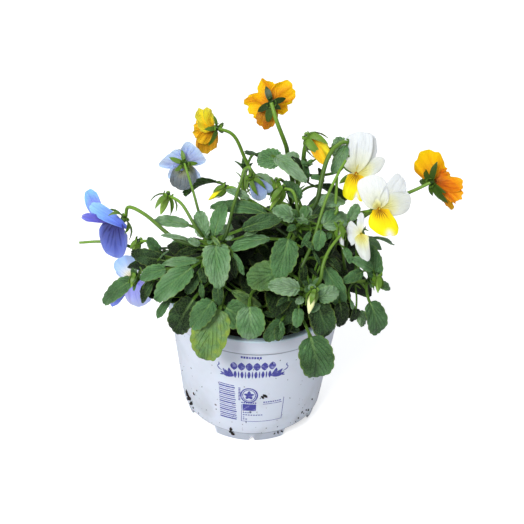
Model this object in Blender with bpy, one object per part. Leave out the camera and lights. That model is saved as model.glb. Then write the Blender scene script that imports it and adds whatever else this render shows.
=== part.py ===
"""Potted garden violas: a white nursery pot of soil, leafy shoots and eleven flowers.

Built in metres, +Z up, with the centre of the pot's underside at the origin and the
front of the pot towards -Y. Sizes and places in the tables below are in millimetres.
"""
import math
from dataclasses import dataclass

import bmesh
import bpy
from mathutils import Vector

MM = 0.001
GAP = 0.3

# Pot: a 12 cm low nursery pot with a proud rim band, a tapered wall and a ring of feet.
POT_HEIGHT = 100.0
RIM_RADIUS = 60.0
RIM_BAND_HEIGHT = 11.0
RIM_BAND_STEP = 1.3
WALL = 1.2
WALL_FOOT_RADIUS = 50.6
FOOT_RING_HEIGHT = 9.0
FOOT_RING_RADIUS = 48.4
FOOT_RING_WALL = 3.0
FLOOR_UNDERSIDE = 7.6
FLOOR_TOP = 9.6
CENTRE_PAD_RADIUS = 9.0
FOOT_GAP_ANGLES = (45, 135, 225, 315)
FOOT_GAP_WIDTH = 24.0
FOOT_GAP_HEIGHT = 6.6
FOOT_NOTCH_WIDTH = 5.0
FOOT_NOTCH_HEIGHT = 4.0
DRAIN_HOLES = 6
DRAIN_HOLE_RADIUS = 3.0
DRAIN_CIRCLE_RADIUS = 30.0
POT_SEGMENTS = 48

# Soil fills the pot to a finger's width below the rim.
SOIL_TOP = 88.0
SOIL_EDGE_TOP = 86.0
SOIL_CROWN_RADIUS = 34.0

STEM_RADIUS = 1.9
STEM_TIP_RADIUS = 1.2
STEM_STEPS = 8
STALK_RADIUS = 1.0
STALK_SIDES = 10
STALK_STEPS = 8
BUD_SIDES = 8

PETIOLE_RADIUS = 0.9
BLADE_THICKNESS = 0.8
BLADE_FOLD = 0.16
# Share of the blade's length and of its half width, from base to tip.
BLADE_OUTLINE = ((0.10, 0.52), (0.22, 0.84), (0.38, 1.00), (0.54, 0.96),
                 (0.69, 0.82), (0.83, 0.60), (0.93, 0.36), (1.00, 0.10))

PETAL_THICKNESS = 0.6
PETAL_COLUMNS = (-1.0, -0.62, -0.22, 0.22, 0.62, 1.0)
PETAL_ROWS = (0.12, 0.6, 1.0)
PETAL_SIDE_LENGTH = 0.5
PETAL_ARCH = 0.07
THROAT_RADIUS = 2.3
THROAT_DEPTH = 1.5
SEPAL_LENGTH = 8.0

COLOURS = {
    "pot": (0.60, 0.66, 0.78),
    "soil": (0.03, 0.02, 0.012),
    "stem": (0.17, 0.25, 0.06),
    "leaf": (0.09, 0.22, 0.08),
    "yellow_leaf": (0.22, 0.36, 0.08),
    "stalk": (0.24, 0.36, 0.09),
    "orange": (0.85, 0.34, 0.01),
    "yellow": (0.92, 0.66, 0.03),
    "pale_blue": (0.38, 0.47, 0.74),
    "blue": (0.16, 0.28, 0.72),
    "white": (0.80, 0.83, 0.78),
}


@dataclass(frozen=True)
class Leaf:
    """A leaf: where its stalk leaves a stem, its blade from base to tip and its facing."""

    stem: str
    at: float
    base: tuple
    tip: tuple
    width: float
    faces: tuple
    arch: float = 0.12
    colour: str = "leaf"


@dataclass(frozen=True)
class Petal:
    """A petal: its tip from the middle of the throat, its width and its facing."""

    tip: tuple
    width: float
    faces: tuple


@dataclass(frozen=True)
class Flower:
    """A flower head and the stalk that carries it from a stem."""

    colour: str
    centre: tuple
    faces: tuple
    stem: str
    at: float
    stalk: tuple
    petals: tuple


@dataclass(frozen=True)
class Bud:
    """A bud at the end of a hooked stalk: the last point is where the bud starts."""

    stem: str
    at: float
    stalk: tuple
    tip: tuple
    radius: float


STEMS = {
    "left": ((-12, -10, 89.6), (-18, -22, 122), (-26, -40, 150), (-27, -50, 168)),
    "far_left": ((-19, 0, 89.6), (-38, -10, 114), (-58, -26, 124), (-73, -38, 129)),
    "upper": ((4, 12, 89.6), (14, 10, 135), (22, 6, 165), (27, 2, 190)),
    "centre": ((9, -4, 89.6), (17, -18, 130), (22, -30, 158), (25, -40, 177)),
    "front": ((4, -18, 89.6), (14, -36, 112), (25, -52, 128), (33, -62, 143)),
    "right": ((19, -2, 89.6), (38, -16, 110), (56, -30, 127), (70, -41, 136)),
    "back": ((-4, 22, 89.6), (-8, 32, 120), (-10, 38, 145), (-10, 42, 165)),
}

LEAVES = {
    "hanging_left": Leaf("left", 0.93, (-24, -58, 165), (-20, -73, 143), 19, (0, -1, 0.7)),
    "left_diagonal": Leaf("left", 0.62, (-37, -60, 154), (-61, -60, 129), 18, (-0.3, -1, 0.7)),
    "left_dark": Leaf("left", 0.72, (-54, -46, 153), (-78, -34, 146), 16, (-0.2, -1, 0.8)),
    "far_left": Leaf("far_left", 0.95, (-78, -42, 131), (-98, -34, 107), 14, (-0.5, -1, 0.8)),
    "lower_left_dark": Leaf("left", 0.30, (-38, -62, 133), (-47, -64, 108), 19, (-0.4, -1, 0.4)),
    "lower_left": Leaf("left", 0.42, (-25, -71, 139), (-38, -75, 119), 17, (-0.2, -1, 0.6)),
    "yellow_front_left": Leaf("left", 0.14, (-24, -69, 126), (-30, -77, 98), 26,
                              (-0.2, -1, 0.4), colour="yellow_leaf"),
    "rim_left": Leaf("front", 0.30, (-5, -68, 136), (-12, -76, 117), 20, (0, -1, 0.5)),
    "rim_centre": Leaf("front", 0.42, (5, -74, 131), (-1, -80, 111), 21, (0, -1, 0.5)),
    "centre_hanging": Leaf("centre", 0.92, (18, -51, 172), (13, -63, 151), 20, (0, -1, 0.6)),
    "centre_oval": Leaf("front", 0.84, (24, -72, 149), (6, -77, 148), 15, (0, -0.8, 0.7)),
    "centre_long": Leaf("left", 0.97, (-18, -57, 168), (16, -50, 175), 13, (0, -0.3, 1)),
    "top_left": Leaf("centre", 0.80, (2, -37, 186), (-30, -33, 184), 16, (0, -0.1, 1)),
    "left_horizontal": Leaf("left", 0.80, (-38, -37, 170), (-63, -25, 167), 16, (-0.1, 0, 1),
                            arch=0.05),
    "upper_left": Leaf("upper", 0.80, (15, 0, 195), (-4, 9, 198), 17, (0, -0.8, 0.9)),
    "upper_front": Leaf("upper", 0.97, (19, -10, 196), (31, -21, 190), 15, (-0.3, -0.6, 1)),
    "upper_right": Leaf("upper", 0.93, (37, 6, 194), (52, 12, 207), 18, (-0.2, -1, 0.7)),
    "right_blade": Leaf("centre", 0.86, (37, -42, 176), (55, -24, 179), 17, (0, -0.8, 1)),
    "right_round": Leaf("right", 0.90, (68, -44, 149), (74, -32, 159), 17, (0.3, -1, 0.5)),
    "right_long": Leaf("centre", 0.55, (43, -53, 157), (59, -57, 129), 15, (0.4, -1, 0.5)),
    "front_right_dark": Leaf("front", 0.92, (38, -67, 137), (47, -69, 113), 20, (0.2, -1, 0.5)),
    "front_right_round": Leaf("front", 0.52, (34, -74, 115), (43, -76, 84), 27, (0.2, -1, 0.3)),
    "far_right": Leaf("right", 0.97, (74, -49, 129), (82, -46, 101), 18, (0.4, -1, 0.4)),
    "back_left": Leaf("back", 0.55, (-30, 56, 148), (-54, 66, 130), 20, (-0.4, 1, 0.7)),
    "back_top": Leaf("back", 0.95, (-6, 52, 172), (4, 72, 158), 19, (0, 0.8, 1)),
    "back_right": Leaf("upper", 0.50, (38, 42, 156), (60, 56, 134), 20, (0.4, 1, 0.7)),
}

FLOWERS = {
    "orange_top": Flower(
        "orange", (5, 8, 230), (0, 0.95, -0.3), "upper", 0.72,
        ((17, 7, 196), (15, 2, 206), (9, -1, 222)),
        (Petal((-6, 12, 10), 17, (0, 0.9, -0.5)), Petal((12, 11, 6), 19, (0, 0.8, -0.6)),
         Petal((-16, 5, -3), 16, (0, 0.8, -0.6)), Petal((12, 4, -6), 12, (0, 0.8, -0.6)),
         Petal((-2, -2, -18), 17, (0, 0.6, -0.8)))),
    "yellow_side": Flower(
        "yellow", (-29, 26, 203), (-0.9, 0.2, -0.3), "upper", 0.55,
        ((-5, 24, 174), (-17, 26, 198)),
        (Petal((-10, 8, 9), 15, (-0.6, 0.7, -0.2)), Petal((-4, 13, 8), 11, (-0.9, 0.2, -0.2)),
         Petal((-12, -2, -4), 14, (-0.6, -0.5, 0.6)), Petal((-3, 2, -12), 11, (-0.9, 0.3, -0.2)),
         Petal((-7, -8, -13), 16, (-0.5, -0.4, 0.8)))),
    "pale_back": Flower(
        "pale_blue", (-48, 0, 192), (-0.1, 0.95, -0.3), "left", 0.98,
        ((-33, -44, 176), (-40, -22, 184)),
        (Petal((-16, 6, 0), 16, (0, 0.9, -0.4)), Petal((9, 13, 7), 22, (0, 0.9, -0.5)),
         Petal((-9, 0, -11), 11, (0, 0.7, -0.7)), Petal((10, 1, -10), 10, (0, 0.7, -0.7)),
         Petal((0, -2, -18), 18, (0, 0.6, -0.8)))),
    "blue_side": Flower(
        "blue", (-90, -18, 157), (-0.7, -0.5, -0.4), "left", 0.80,
        ((-48, -44, 163), (-68, -29, 170), (-80, -20, 172)),
        (Petal((-18, 12, 13), 17, (-0.6, -0.5, 0.6)), Petal((-13, -2, 10), 14, (-0.3, -0.3, 0.9)),
         Petal((-19, 6, -5), 12, (-0.4, -0.1, 0.9)), Petal((5, -17, -15), 13, (-0.6, -0.5, 0.6)),
         Petal((-2, -14, -17), 18, (-0.6, -0.5, 0.6)))),
    "blue_low": Flower(
        "blue", (-84, 4, 98), (-0.3, -0.9, 0.2), "far_left", 0.68,
        ((-72, -6, 118), (-80, 12, 106)),
        (Petal((-13, 1, 11), 14, (-0.4, -0.5, 0.7)), Petal((-17, -1, -3), 13, (-0.4, -0.5, 0.7)),
         Petal((-14, -8, -15), 11, (-0.4, -0.4, 0.8)), Petal((12, -8, -8), 13, (-0.2, -0.6, 0.8)),
         Petal((4, -14, -15), 20, (-0.2, -0.5, 0.8)))),
    "blue_half": Flower(
        "pale_blue", (-3, 10, 175), (0.4, -0.7, -0.6), "upper", 0.40,
        ((-8, 14, 160), (-11, 14, 178), (-6, 13, 184)),
        (Petal((1, -10, -8), 10, (-0.3, -0.7, 0.7)), Petal((11, -6, -2), 9, (0.3, -0.6, 0.7)),
         Petal((6, -9, -8), 9, (0.2, -0.7, 0.7)))),
    "yellow_bud": Flower(
        "yellow", (31, 0, 207), (0.5, -0.6, -0.6), "upper", 0.97,
        ((24, 3, 202), (26, 4, 212)),
        (Petal((8, -6, -3), 6, (0.6, -0.3, 0.7)), Petal((6, -8, -7), 6, (0.1, -0.7, 0.7)),
         Petal((2, -7, -6), 6, (-0.5, -0.6, 0.7)))),
    "white_upper": Flower(
        "white", (60, -8, 192), (0.1, -0.9, 0.2), "centre", 0.95,
        ((42, -16, 182), (54, 6, 184), (62, 5, 191)),
        (Petal((-4, 9, 24), 20, (0, -0.9, 0.4)), Petal((10, 10, 23), 17, (0.1, -0.9, 0.5)),
         Petal((18, 0, 10), 13, (0.1, -0.9, 0.3)), Petal((-9, -4, -8), 11, (-0.5, -0.6, 0.6)),
         Petal((-1, -13, -13), 18, (-0.1, -0.5, 0.8)))),
    "white_front": Flower(
        "white", (73, -32, 183), (0.1, -0.8, 0.4), "centre", 0.75,
        ((44, -32, 162), (58, -17, 168), (69, -24, 177)),
        (Petal((-10, 10, 16), 18, (0, -0.9, 0.4)), Petal((9, 12, 20), 17, (0, -0.9, 0.4)),
         Petal((18, -1, 7), 18, (0, -0.9, 0.4)), Petal((-12, -3, 3), 13, (0, -0.9, 0.4)),
         Petal((6, -14, -12), 21, (0, -0.6, 0.8)))),
    "white_side": Flower(
        "white", (60, -40, 173), (0, -0.75, -0.5), "right", 0.78,
        ((64, -28, 156), (62, -31, 175)),
        (Petal((4, -8, 6), 10, (-0.6, -0.4, 0.6)), Petal((-6, -7, -4), 11, (-0.7, -0.5, 0.3)),
         Petal((0, -10, -7), 10, (-0.4, -0.7, 0.5)), Petal((6, -13, -15), 12, (0.2, -0.6, 0.8)))),
    "orange_right": Flower(
        "orange", (109, 2, 186), (0.7, 0.7, 0.1), "right", 0.60,
        ((60, -16, 160), (86, -4, 174), (100, -1, 181)),
        (Petal((-6, 15, 9), 18, (0.1, 0.9, -0.3)), Petal((5, 14, 15), 18, (0.5, 0.8, -0.2)),
         Petal((18, 4, -1), 15, (0.7, 0.7, -0.1)), Petal((15, 2, -13), 15, (0.7, 0.6, -0.4)),
         Petal((8, 3, -19), 13, (0.6, 0.6, -0.5)))),
}

BUDS = {
    "spent_left": Bud("left", 0.90, ((-35, -51, 175), (-45, -41, 186), (-54, -33, 187)),
                      (-53, -33, 173), 3.6),
    "yellow_left": Bud("centre", 0.65, ((-2, -16, 168), (-14, -14, 182), (-21, -10, 181)),
                       (-32, -10, 172), 2.9),
    "pale_front": Bud("front", 0.97, ((33, -66, 150), (34, -71, 154)), (31, -77, 138), 2.6),
}


def on_curve(points, share):
    """Point and direction at a share of the way along a smooth curve through points."""
    points = [Vector(p) for p in points]
    spans = len(points) - 1
    place = min(max(share, 0.0), 1.0) * spans
    index = min(int(place), spans - 1)
    t = place - index
    p1 = points[index]
    p2 = points[index + 1]
    p0 = points[index - 1] if index else p1 * 2 - p2
    p3 = points[index + 2] if index + 2 <= spans else p2 * 2 - p1
    linear = p2 - p0
    square = p0 * 2 - p1 * 5 + p2 * 4 - p3
    cubic = p1 * 3 - p0 - p2 * 3 + p3
    point = p1 + (linear * t + square * t ** 2 + cubic * t ** 3) * 0.5
    direction = (linear + square * (2 * t) + cubic * (3 * t ** 2)).normalized()
    return point, direction


def on_arc(start, control, end, t):
    """Point and direction on a quadratic arc."""
    point = start * (1 - t) ** 2 + control * (2 * t * (1 - t)) + end * t ** 2
    direction = ((control - start) * (1 - t) + (end - control) * t).normalized()
    return point, direction


def stem_radius(share):
    """Radius of a main stem at a share of its length."""
    return STEM_RADIUS + (STEM_TIP_RADIUS - STEM_RADIUS) * share


def leave_stem(stem, share, towards, radius):
    """Point beside a stem where a stalk of a radius starts on its way towards a place."""
    point, direction = on_curve(STEMS[stem], share)
    out = Vector(towards) - point
    out -= direction * out.dot(direction)
    return point + out.normalized() * (stem_radius(share) + radius + GAP)


def frame_across(direction, faces):
    """Side and normal vectors across a direction, the normal nearest to faces."""
    side = direction.cross(Vector(faces)).normalized()
    return side, side.cross(direction)


def turns(count):
    """Angles of a full turn in equal steps."""
    return [2 * math.pi * i / count for i in range(count)]


def polar(centre, side, normal, angle, radius):
    """Point at an angle and a radius round a centre."""
    return centre + (side * math.cos(angle) + normal * math.sin(angle)) * radius


def material(name, colour, roughness):
    """Principled material of one colour, shared by the pieces that use it."""
    known = bpy.data.materials.get(name)
    if known:
        return known
    new = bpy.data.materials.new(name)
    new.use_nodes = True
    shader = new.node_tree.nodes["Principled BSDF"]
    shader.inputs["Base Color"].default_value = (*colour, 1.0)
    shader.inputs["Roughness"].default_value = roughness
    shader.inputs["Metallic"].default_value = 0.0
    return new


def place(name, data, origin, parent):
    """Object in the scene at an origin in millimetres, under a parent."""
    new = bpy.data.objects.new(name, data)
    new.location = Vector(origin) * MM
    new.parent = parent
    bpy.context.scene.collection.objects.link(new)
    return new


def mesh_piece(name, bm, colour, roughness, origin, parent):
    """Smooth-shaded piece from a bmesh in millimetres, placed at its own origin."""
    bmesh.ops.recalc_face_normals(bm, faces=bm.faces)
    bmesh.ops.translate(bm, vec=-Vector(origin), verts=bm.verts)
    bmesh.ops.scale(bm, vec=(MM, MM, MM), verts=bm.verts)
    mesh = bpy.data.meshes.new(name)
    bm.to_mesh(mesh)
    bm.free()
    mesh.shade_smooth()
    mesh.set_sharp_from_angle(angle=math.radians(40))
    mesh.materials.append(material(colour, COLOURS[colour], roughness))
    return place(name, mesh, origin, parent)


def helper(name, bm, origin=(0, 0, 0), turn=0.0):
    """Hidden helper for a Boolean, from a bmesh in millimetres."""
    bmesh.ops.recalc_face_normals(bm, faces=bm.faces)
    bmesh.ops.scale(bm, vec=(MM, MM, MM), verts=bm.verts)
    mesh = bpy.data.meshes.new(name)
    bm.to_mesh(mesh)
    bm.free()
    new = bpy.data.objects.new(name, mesh)
    new.location = Vector(origin) * MM
    new.rotation_euler.z = math.radians(turn)
    new.hide_render = True
    new.display_type = "WIRE"
    return new


def combine(target, operation, helpers, name):
    """Boolean of a target with a collection of helpers."""
    group = bpy.data.collections.new(name)
    bpy.context.scene.collection.children.link(group)
    for each in helpers:
        group.objects.link(each)
    modifier = target.modifiers.new(name, "BOOLEAN")
    modifier.operation = operation
    modifier.operand_type = "COLLECTION"
    modifier.collection = group
    modifier.solver = "EXACT"


def outer_skin(mesh):
    """Keep only the largest island of a mesh, which closes the pockets left inside it."""
    bm = bmesh.new()
    bm.from_mesh(mesh)
    unseen = set(bm.faces)
    islands = []
    while unseen:
        island = {unseen.pop()}
        edge_faces = list(island)
        while edge_faces:
            face = edge_faces.pop()
            near = {other for edge in face.edges for other in edge.link_faces} - island
            island |= near
            edge_faces.extend(near)
        unseen -= island
        islands.append(island)
    islands.sort(key=len)
    spare = [face for island in islands[:-1] for face in island]
    bmesh.ops.delete(bm, geom=spare, context="FACES")
    bm.to_mesh(mesh)
    bm.free()


def weld(target, helpers, name):
    """Join helpers to a target as one closed skin, then drop them."""
    combine(target, "UNION", helpers, name)
    depsgraph = bpy.context.evaluated_depsgraph_get()
    mesh = bpy.data.meshes.new_from_object(target.evaluated_get(depsgraph))
    mesh.name = target.name
    target.modifiers.clear()
    target.data = mesh
    outer_skin(mesh)
    bpy.data.collections.remove(bpy.data.collections[name])
    for each in helpers:
        bpy.data.objects.remove(each, do_unlink=True)


def turned(profile):
    """Bmesh body turned about Z from a profile of radius and height."""
    bm = bmesh.new()
    verts = [bm.verts.new((radius, 0, height)) for radius, height in profile]
    edges = [bm.edges.new(pair) for pair in zip(verts, verts[1:])]
    bmesh.ops.spin(bm, geom=verts + edges, axis=(0, 0, 1), cent=(0, 0, 0),
                   angle=2 * math.pi, steps=POT_SEGMENTS, use_merge=True)
    bmesh.ops.remove_doubles(bm, verts=bm.verts, dist=0.001)
    return bm


def loft(bm, rings):
    """Closed skin over rings of equally many points, with a fan of faces at each end."""
    loops = [[bm.verts.new(p) for p in ring] for ring in rings]
    count = len(loops[0])
    for low, high in zip(loops, loops[1:]):
        for i in range(count):
            j = (i + 1) % count
            bm.faces.new((low[i], low[j], high[j], high[i]))
    caps = [bm.faces.new(loops[0][::-1]), bm.faces.new(loops[-1])]
    bmesh.ops.poke(bm, faces=caps)


def tube_rings(points, radius, steps, sides):
    """Rings along a curve, each turned as little as possible from the one before."""
    side = None
    rings = []
    for step in range(steps + 1):
        point, direction = on_curve(points, step / steps)
        side = side or direction.orthogonal()
        side = (side - direction * side.dot(direction)).normalized()
        normal = direction.cross(side)
        rings.append([polar(point, side, normal, angle, radius) for angle in turns(sides)])
    return rings, side


def inner_radius(height):
    """Inside radius of the pot's wall at a height."""
    band_bottom = POT_HEIGHT - RIM_BAND_HEIGHT
    top = RIM_RADIUS - RIM_BAND_STEP - WALL
    foot = WALL_FOOT_RADIUS - WALL
    return foot + (top - foot) * (height - FLOOR_TOP) / (band_bottom - FLOOR_TOP)


def foot_cutters():
    """Helpers that open the ring of feet: four wide gaps and a small notch at the front."""
    helpers = []
    half = FOOT_GAP_WIDTH / 2
    for angle in FOOT_GAP_ANGLES:
        bm = bmesh.new()
        bmesh.ops.create_cube(bm, size=1)
        bmesh.ops.scale(bm, vec=(18, 2 * half, 2 * FOOT_GAP_HEIGHT), verts=bm.verts)
        bmesh.ops.translate(bm, vec=(FOOT_RING_RADIUS, 0, 0), verts=bm.verts)
        helpers.append(helper(f"foot_gap_{angle}", bm, turn=angle))
    half = FOOT_NOTCH_WIDTH / 2
    bm = bmesh.new()
    outline = ((-half, -1), (half, -1), (0, FOOT_NOTCH_HEIGHT))
    face = bm.faces.new([bm.verts.new((42, y, z)) for y, z in outline])
    grown = bmesh.ops.extrude_face_region(bm, geom=[face])["geom"]
    moved = [v for v in grown if isinstance(v, bmesh.types.BMVert)]
    bmesh.ops.translate(bm, vec=(14, 0, 0), verts=moved)
    helpers.append(helper("foot_notch", bm, turn=-88))
    return helpers


def drain_cutters():
    """Helpers that drill a circle of drain holes through the raised floor."""
    helpers = []
    for i, angle in enumerate(turns(DRAIN_HOLES)):
        bm = bmesh.new()
        bmesh.ops.create_cone(bm, cap_ends=True, segments=12, radius1=DRAIN_HOLE_RADIUS,
                              radius2=DRAIN_HOLE_RADIUS, depth=8)
        middle = polar(Vector((0, 0, (FLOOR_UNDERSIDE + FLOOR_TOP) / 2)), Vector((1, 0, 0)),
                       Vector((0, 1, 0)), angle + math.pi / DRAIN_HOLES, DRAIN_CIRCLE_RADIUS)
        helpers.append(helper(f"drain_hole_{i + 1}", bm, middle))
    return helpers


def build_pot(parent):
    """Nursery pot: band, wall, raised floor with drain holes, feet and a centre pad."""
    band_bottom = POT_HEIGHT - RIM_BAND_HEIGHT
    ring_inside = FOOT_RING_RADIUS - FOOT_RING_WALL
    profile = (
        (0, 0), (CENTRE_PAD_RADIUS, 0), (CENTRE_PAD_RADIUS + 0.6, FLOOR_UNDERSIDE),
        (ring_inside, FLOOR_UNDERSIDE), (ring_inside + 0.4, 0), (FOOT_RING_RADIUS - 0.5, 0),
        (FOOT_RING_RADIUS, FOOT_RING_HEIGHT - 0.4), (WALL_FOOT_RADIUS - 0.5, FOOT_RING_HEIGHT),
        (WALL_FOOT_RADIUS, FOOT_RING_HEIGHT + 0.6),
        (RIM_RADIUS - RIM_BAND_STEP, band_bottom - 0.5), (RIM_RADIUS - 0.3, band_bottom),
        (RIM_RADIUS, POT_HEIGHT - 0.7), (RIM_RADIUS - 0.5, POT_HEIGHT),
        (RIM_RADIUS - 1.1, POT_HEIGHT), (RIM_RADIUS - 1.6, POT_HEIGHT - 0.7),
        (RIM_RADIUS - RIM_BAND_STEP - WALL + 0.5, band_bottom + 1.0),
        (inner_radius(band_bottom), band_bottom), (inner_radius(FLOOR_TOP), FLOOR_TOP),
        (0, FLOOR_TOP))
    pot = mesh_piece("pot", turned(profile), "pot", 0.35, (0, 0, 0), parent)
    combine(pot, "DIFFERENCE", foot_cutters() + drain_cutters(), "pot_cuts")


def build_soil(parent):
    """Soil body that follows the pot's inside with a small gap and crowns in the middle."""
    bottom = FLOOR_TOP + GAP
    edge = inner_radius(SOIL_EDGE_TOP)
    profile = ((0, bottom), (inner_radius(bottom) - GAP - 0.1, bottom),
               (edge - GAP, SOIL_EDGE_TOP), (edge - 4, SOIL_EDGE_TOP + 0.8),
               (SOIL_CROWN_RADIUS, SOIL_TOP), (0, SOIL_TOP))
    mesh_piece("soil", turned(profile), "soil", 0.95, (0, 0, 0), parent)


def build_stem(name, points, parent):
    """Main stem as a tapering round curve from just above the soil to its shoot tip."""
    curve = bpy.data.curves.new(f"stem_{name}", "CURVE")
    curve.dimensions = "3D"
    curve.bevel_depth = MM
    curve.bevel_resolution = 1
    curve.use_fill_caps = True
    spline = curve.splines.new("POLY")
    spline.points.add(STEM_STEPS)
    origin = Vector(points[0])
    for step, point in enumerate(spline.points):
        share = step / STEM_STEPS
        along, _ = on_curve(points, share)
        point.co = (*((along - origin) * MM), 1.0)
        point.radius = stem_radius(share)
    curve.materials.append(material("stem", COLOURS["stem"], 0.55))
    place(f"stem_{name}", curve, origin, parent)


def leaf_ring(point, side, normal, half_width, thickness, fold):
    """Eight points across a leaf: edge, three on top, edge, three underneath."""
    shares = ((-1, 0), (-0.55, 0.5), (0, 0.5), (0.55, 0.5),
              (1, 0), (0.55, -0.5), (0, -0.5), (-0.55, -0.5))
    return [point + side * (s * half_width)
            + normal * (t * thickness + abs(s) * fold * half_width) for s, t in shares]


def build_leaf(name, leaf, parent):
    """Leaf as one loft: a round stalk that opens into a thin folded blade."""
    base = Vector(leaf.base)
    tip = Vector(leaf.tip)
    faces = Vector(leaf.faces).normalized()
    length = (tip - base).length
    crest = (base + tip) / 2 + faces * (leaf.arch * length * 2)
    start = leave_stem(leaf.stem, leaf.at, base, PETIOLE_RADIUS)
    bend = base - (crest - base).normalized() * ((base - start).length * 0.45)
    round_width = 2 * PETIOLE_RADIUS / leaf.width

    rings = []
    for share in (0.0, 0.35, 0.7):
        point, direction = on_arc(start, bend, base, share)
        side, normal = frame_across(direction, faces)
        rings.append(leaf_ring(point, side, normal, PETIOLE_RADIUS, PETIOLE_RADIUS * 2, 0))
    for share, width in ((0.0, round_width), *BLADE_OUTLINE):
        point, direction = on_arc(base, crest, tip, share)
        side, normal = frame_across(direction, faces)
        thickness = BLADE_THICKNESS if share else PETIOLE_RADIUS * 2
        fold = BLADE_FOLD if share else 0
        rings.append(leaf_ring(point, side, normal, width * leaf.width / 2, thickness, fold))
    bm = bmesh.new()
    loft(bm, rings)
    mesh_piece(f"leaf_{name}", bm, leaf.colour, 0.45, start, parent)


def petal_helper(name, centre, petal):
    """Hidden petal: a thickened fan-shaped sheet that widens from the throat to its tip."""
    length = Vector(petal.tip).length
    along = Vector(petal.tip).normalized()
    side, normal = frame_across(along, petal.faces)
    spread = math.asin(min(0.92, petal.width / (1.58 * length))) / 0.75
    bm = bmesh.new()
    rows = []
    for row in PETAL_ROWS:
        line = []
        for column in PETAL_COLUMNS:
            angle = column * spread
            radius = length * row * (1 - (1 - PETAL_SIDE_LENGTH) * abs(column) ** 3)
            arch = PETAL_ARCH * length * 4 * row * (1 - row)
            line.append(bm.verts.new(polar(centre, along, side, angle, radius)
                                     + normal * arch))
        rows.append(line)
    for low, high in zip(rows, rows[1:]):
        for i in range(len(low) - 1):
            bm.faces.new((low[i], low[i + 1], high[i + 1], high[i]))
    petal_sheet = helper(name, bm)
    thicken = petal_sheet.modifiers.new("thickness", "SOLIDIFY")
    thicken.thickness = PETAL_THICKNESS * MM
    thicken.offset = 0.0
    return petal_sheet


def build_corolla(name, flower, parent):
    """Petals joined to the throat of a flower as one body."""
    centre = Vector(flower.centre)
    faces = Vector(flower.faces).normalized()
    side, normal = frame_across(faces, faces.orthogonal())
    bm = bmesh.new()
    rings = []
    for depth, share in ((-THROAT_DEPTH * 0.7, 0.75), (0.0, 1.0), (THROAT_DEPTH, 0.6)):
        rings.append([polar(centre + faces * depth, side, normal, angle, THROAT_RADIUS * share)
                      for angle in turns(10)])
    loft(bm, rings)
    corolla = mesh_piece(f"corolla_{name}", bm, flower.colour, 0.6, centre, parent)
    helpers = [petal_helper(f"petal_{name}_{i + 1}", centre, petal)
               for i, petal in enumerate(flower.petals)]
    weld(corolla, helpers, f"petals_{name}")


def build_stalk(name, flower, parent):
    """Flower stalk from its stem, over its hook, into a star of five sepals."""
    faces = Vector(flower.faces).normalized()
    seat = Vector(flower.centre) - faces * (THROAT_DEPTH * 0.7 + GAP)
    start = leave_stem(flower.stem, flower.at, flower.stalk[0], STALK_RADIUS)
    points = (start, *flower.stalk, seat - faces * 3.2)
    rings, side = tube_rings(points, STALK_RADIUS, STALK_STEPS, STALK_SIDES)
    side = (side - faces * side.dot(faces)).normalized()
    normal = faces.cross(side)
    # Distance behind the seat, radius along a sepal and radius between sepals.
    cup = ((1.9, 1.8, 1.7), (1.1, 3.2, 2.0), (1.3, SEPAL_LENGTH, 2.2), (0.6, 3.0, 1.9),
           (0.0, 1.4, 1.2))
    for back, sepal, between in cup:
        rings.append([polar(seat - faces * back, side, normal, angle, between if i % 2 else sepal)
                      for i, angle in enumerate(turns(STALK_SIDES))])
    bm = bmesh.new()
    loft(bm, rings)
    mesh_piece(f"stalk_{name}", bm, "stalk", 0.5, start, parent)


def build_bud(name, bud, parent):
    """Hooked stalk that swells into a closed bud."""
    start = leave_stem(bud.stem, bud.at, bud.stalk[0], STALK_RADIUS)
    rings, side = tube_rings((start, *bud.stalk), STALK_RADIUS, STALK_STEPS, BUD_SIDES)
    head = Vector(bud.stalk[-1])
    tip = Vector(bud.tip)
    along = (tip - head).normalized()
    side = (side - along * side.dot(along)).normalized()
    normal = along.cross(side)
    for share, width in ((0.2, 0.75), (0.4, 1.0), (0.62, 0.85), (0.85, 0.45), (1.0, 0.12)):
        rings.append([polar(head.lerp(tip, share), side, normal, angle, bud.radius * width)
                      for angle in turns(BUD_SIDES)])
    bm = bmesh.new()
    loft(bm, rings)
    mesh_piece(f"bud_{name}", bm, "stalk", 0.5, start, parent)


def main():
    """Clear the scene and build every piece under one empty."""
    for old in list(bpy.data.objects):
        bpy.data.objects.remove(old, do_unlink=True)
    planter = place("planter", None, (0, 0, 0), None)
    build_pot(planter)
    build_soil(planter)
    for name, points in STEMS.items():
        build_stem(name, points, planter)
    for name, leaf in LEAVES.items():
        build_leaf(name, leaf, planter)
    for name, flower in FLOWERS.items():
        build_corolla(name, flower, planter)
        build_stalk(name, flower, planter)
    for name, bud in BUDS.items():
        build_bud(name, bud, planter)


if __name__ == "__main__":
    main()
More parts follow.
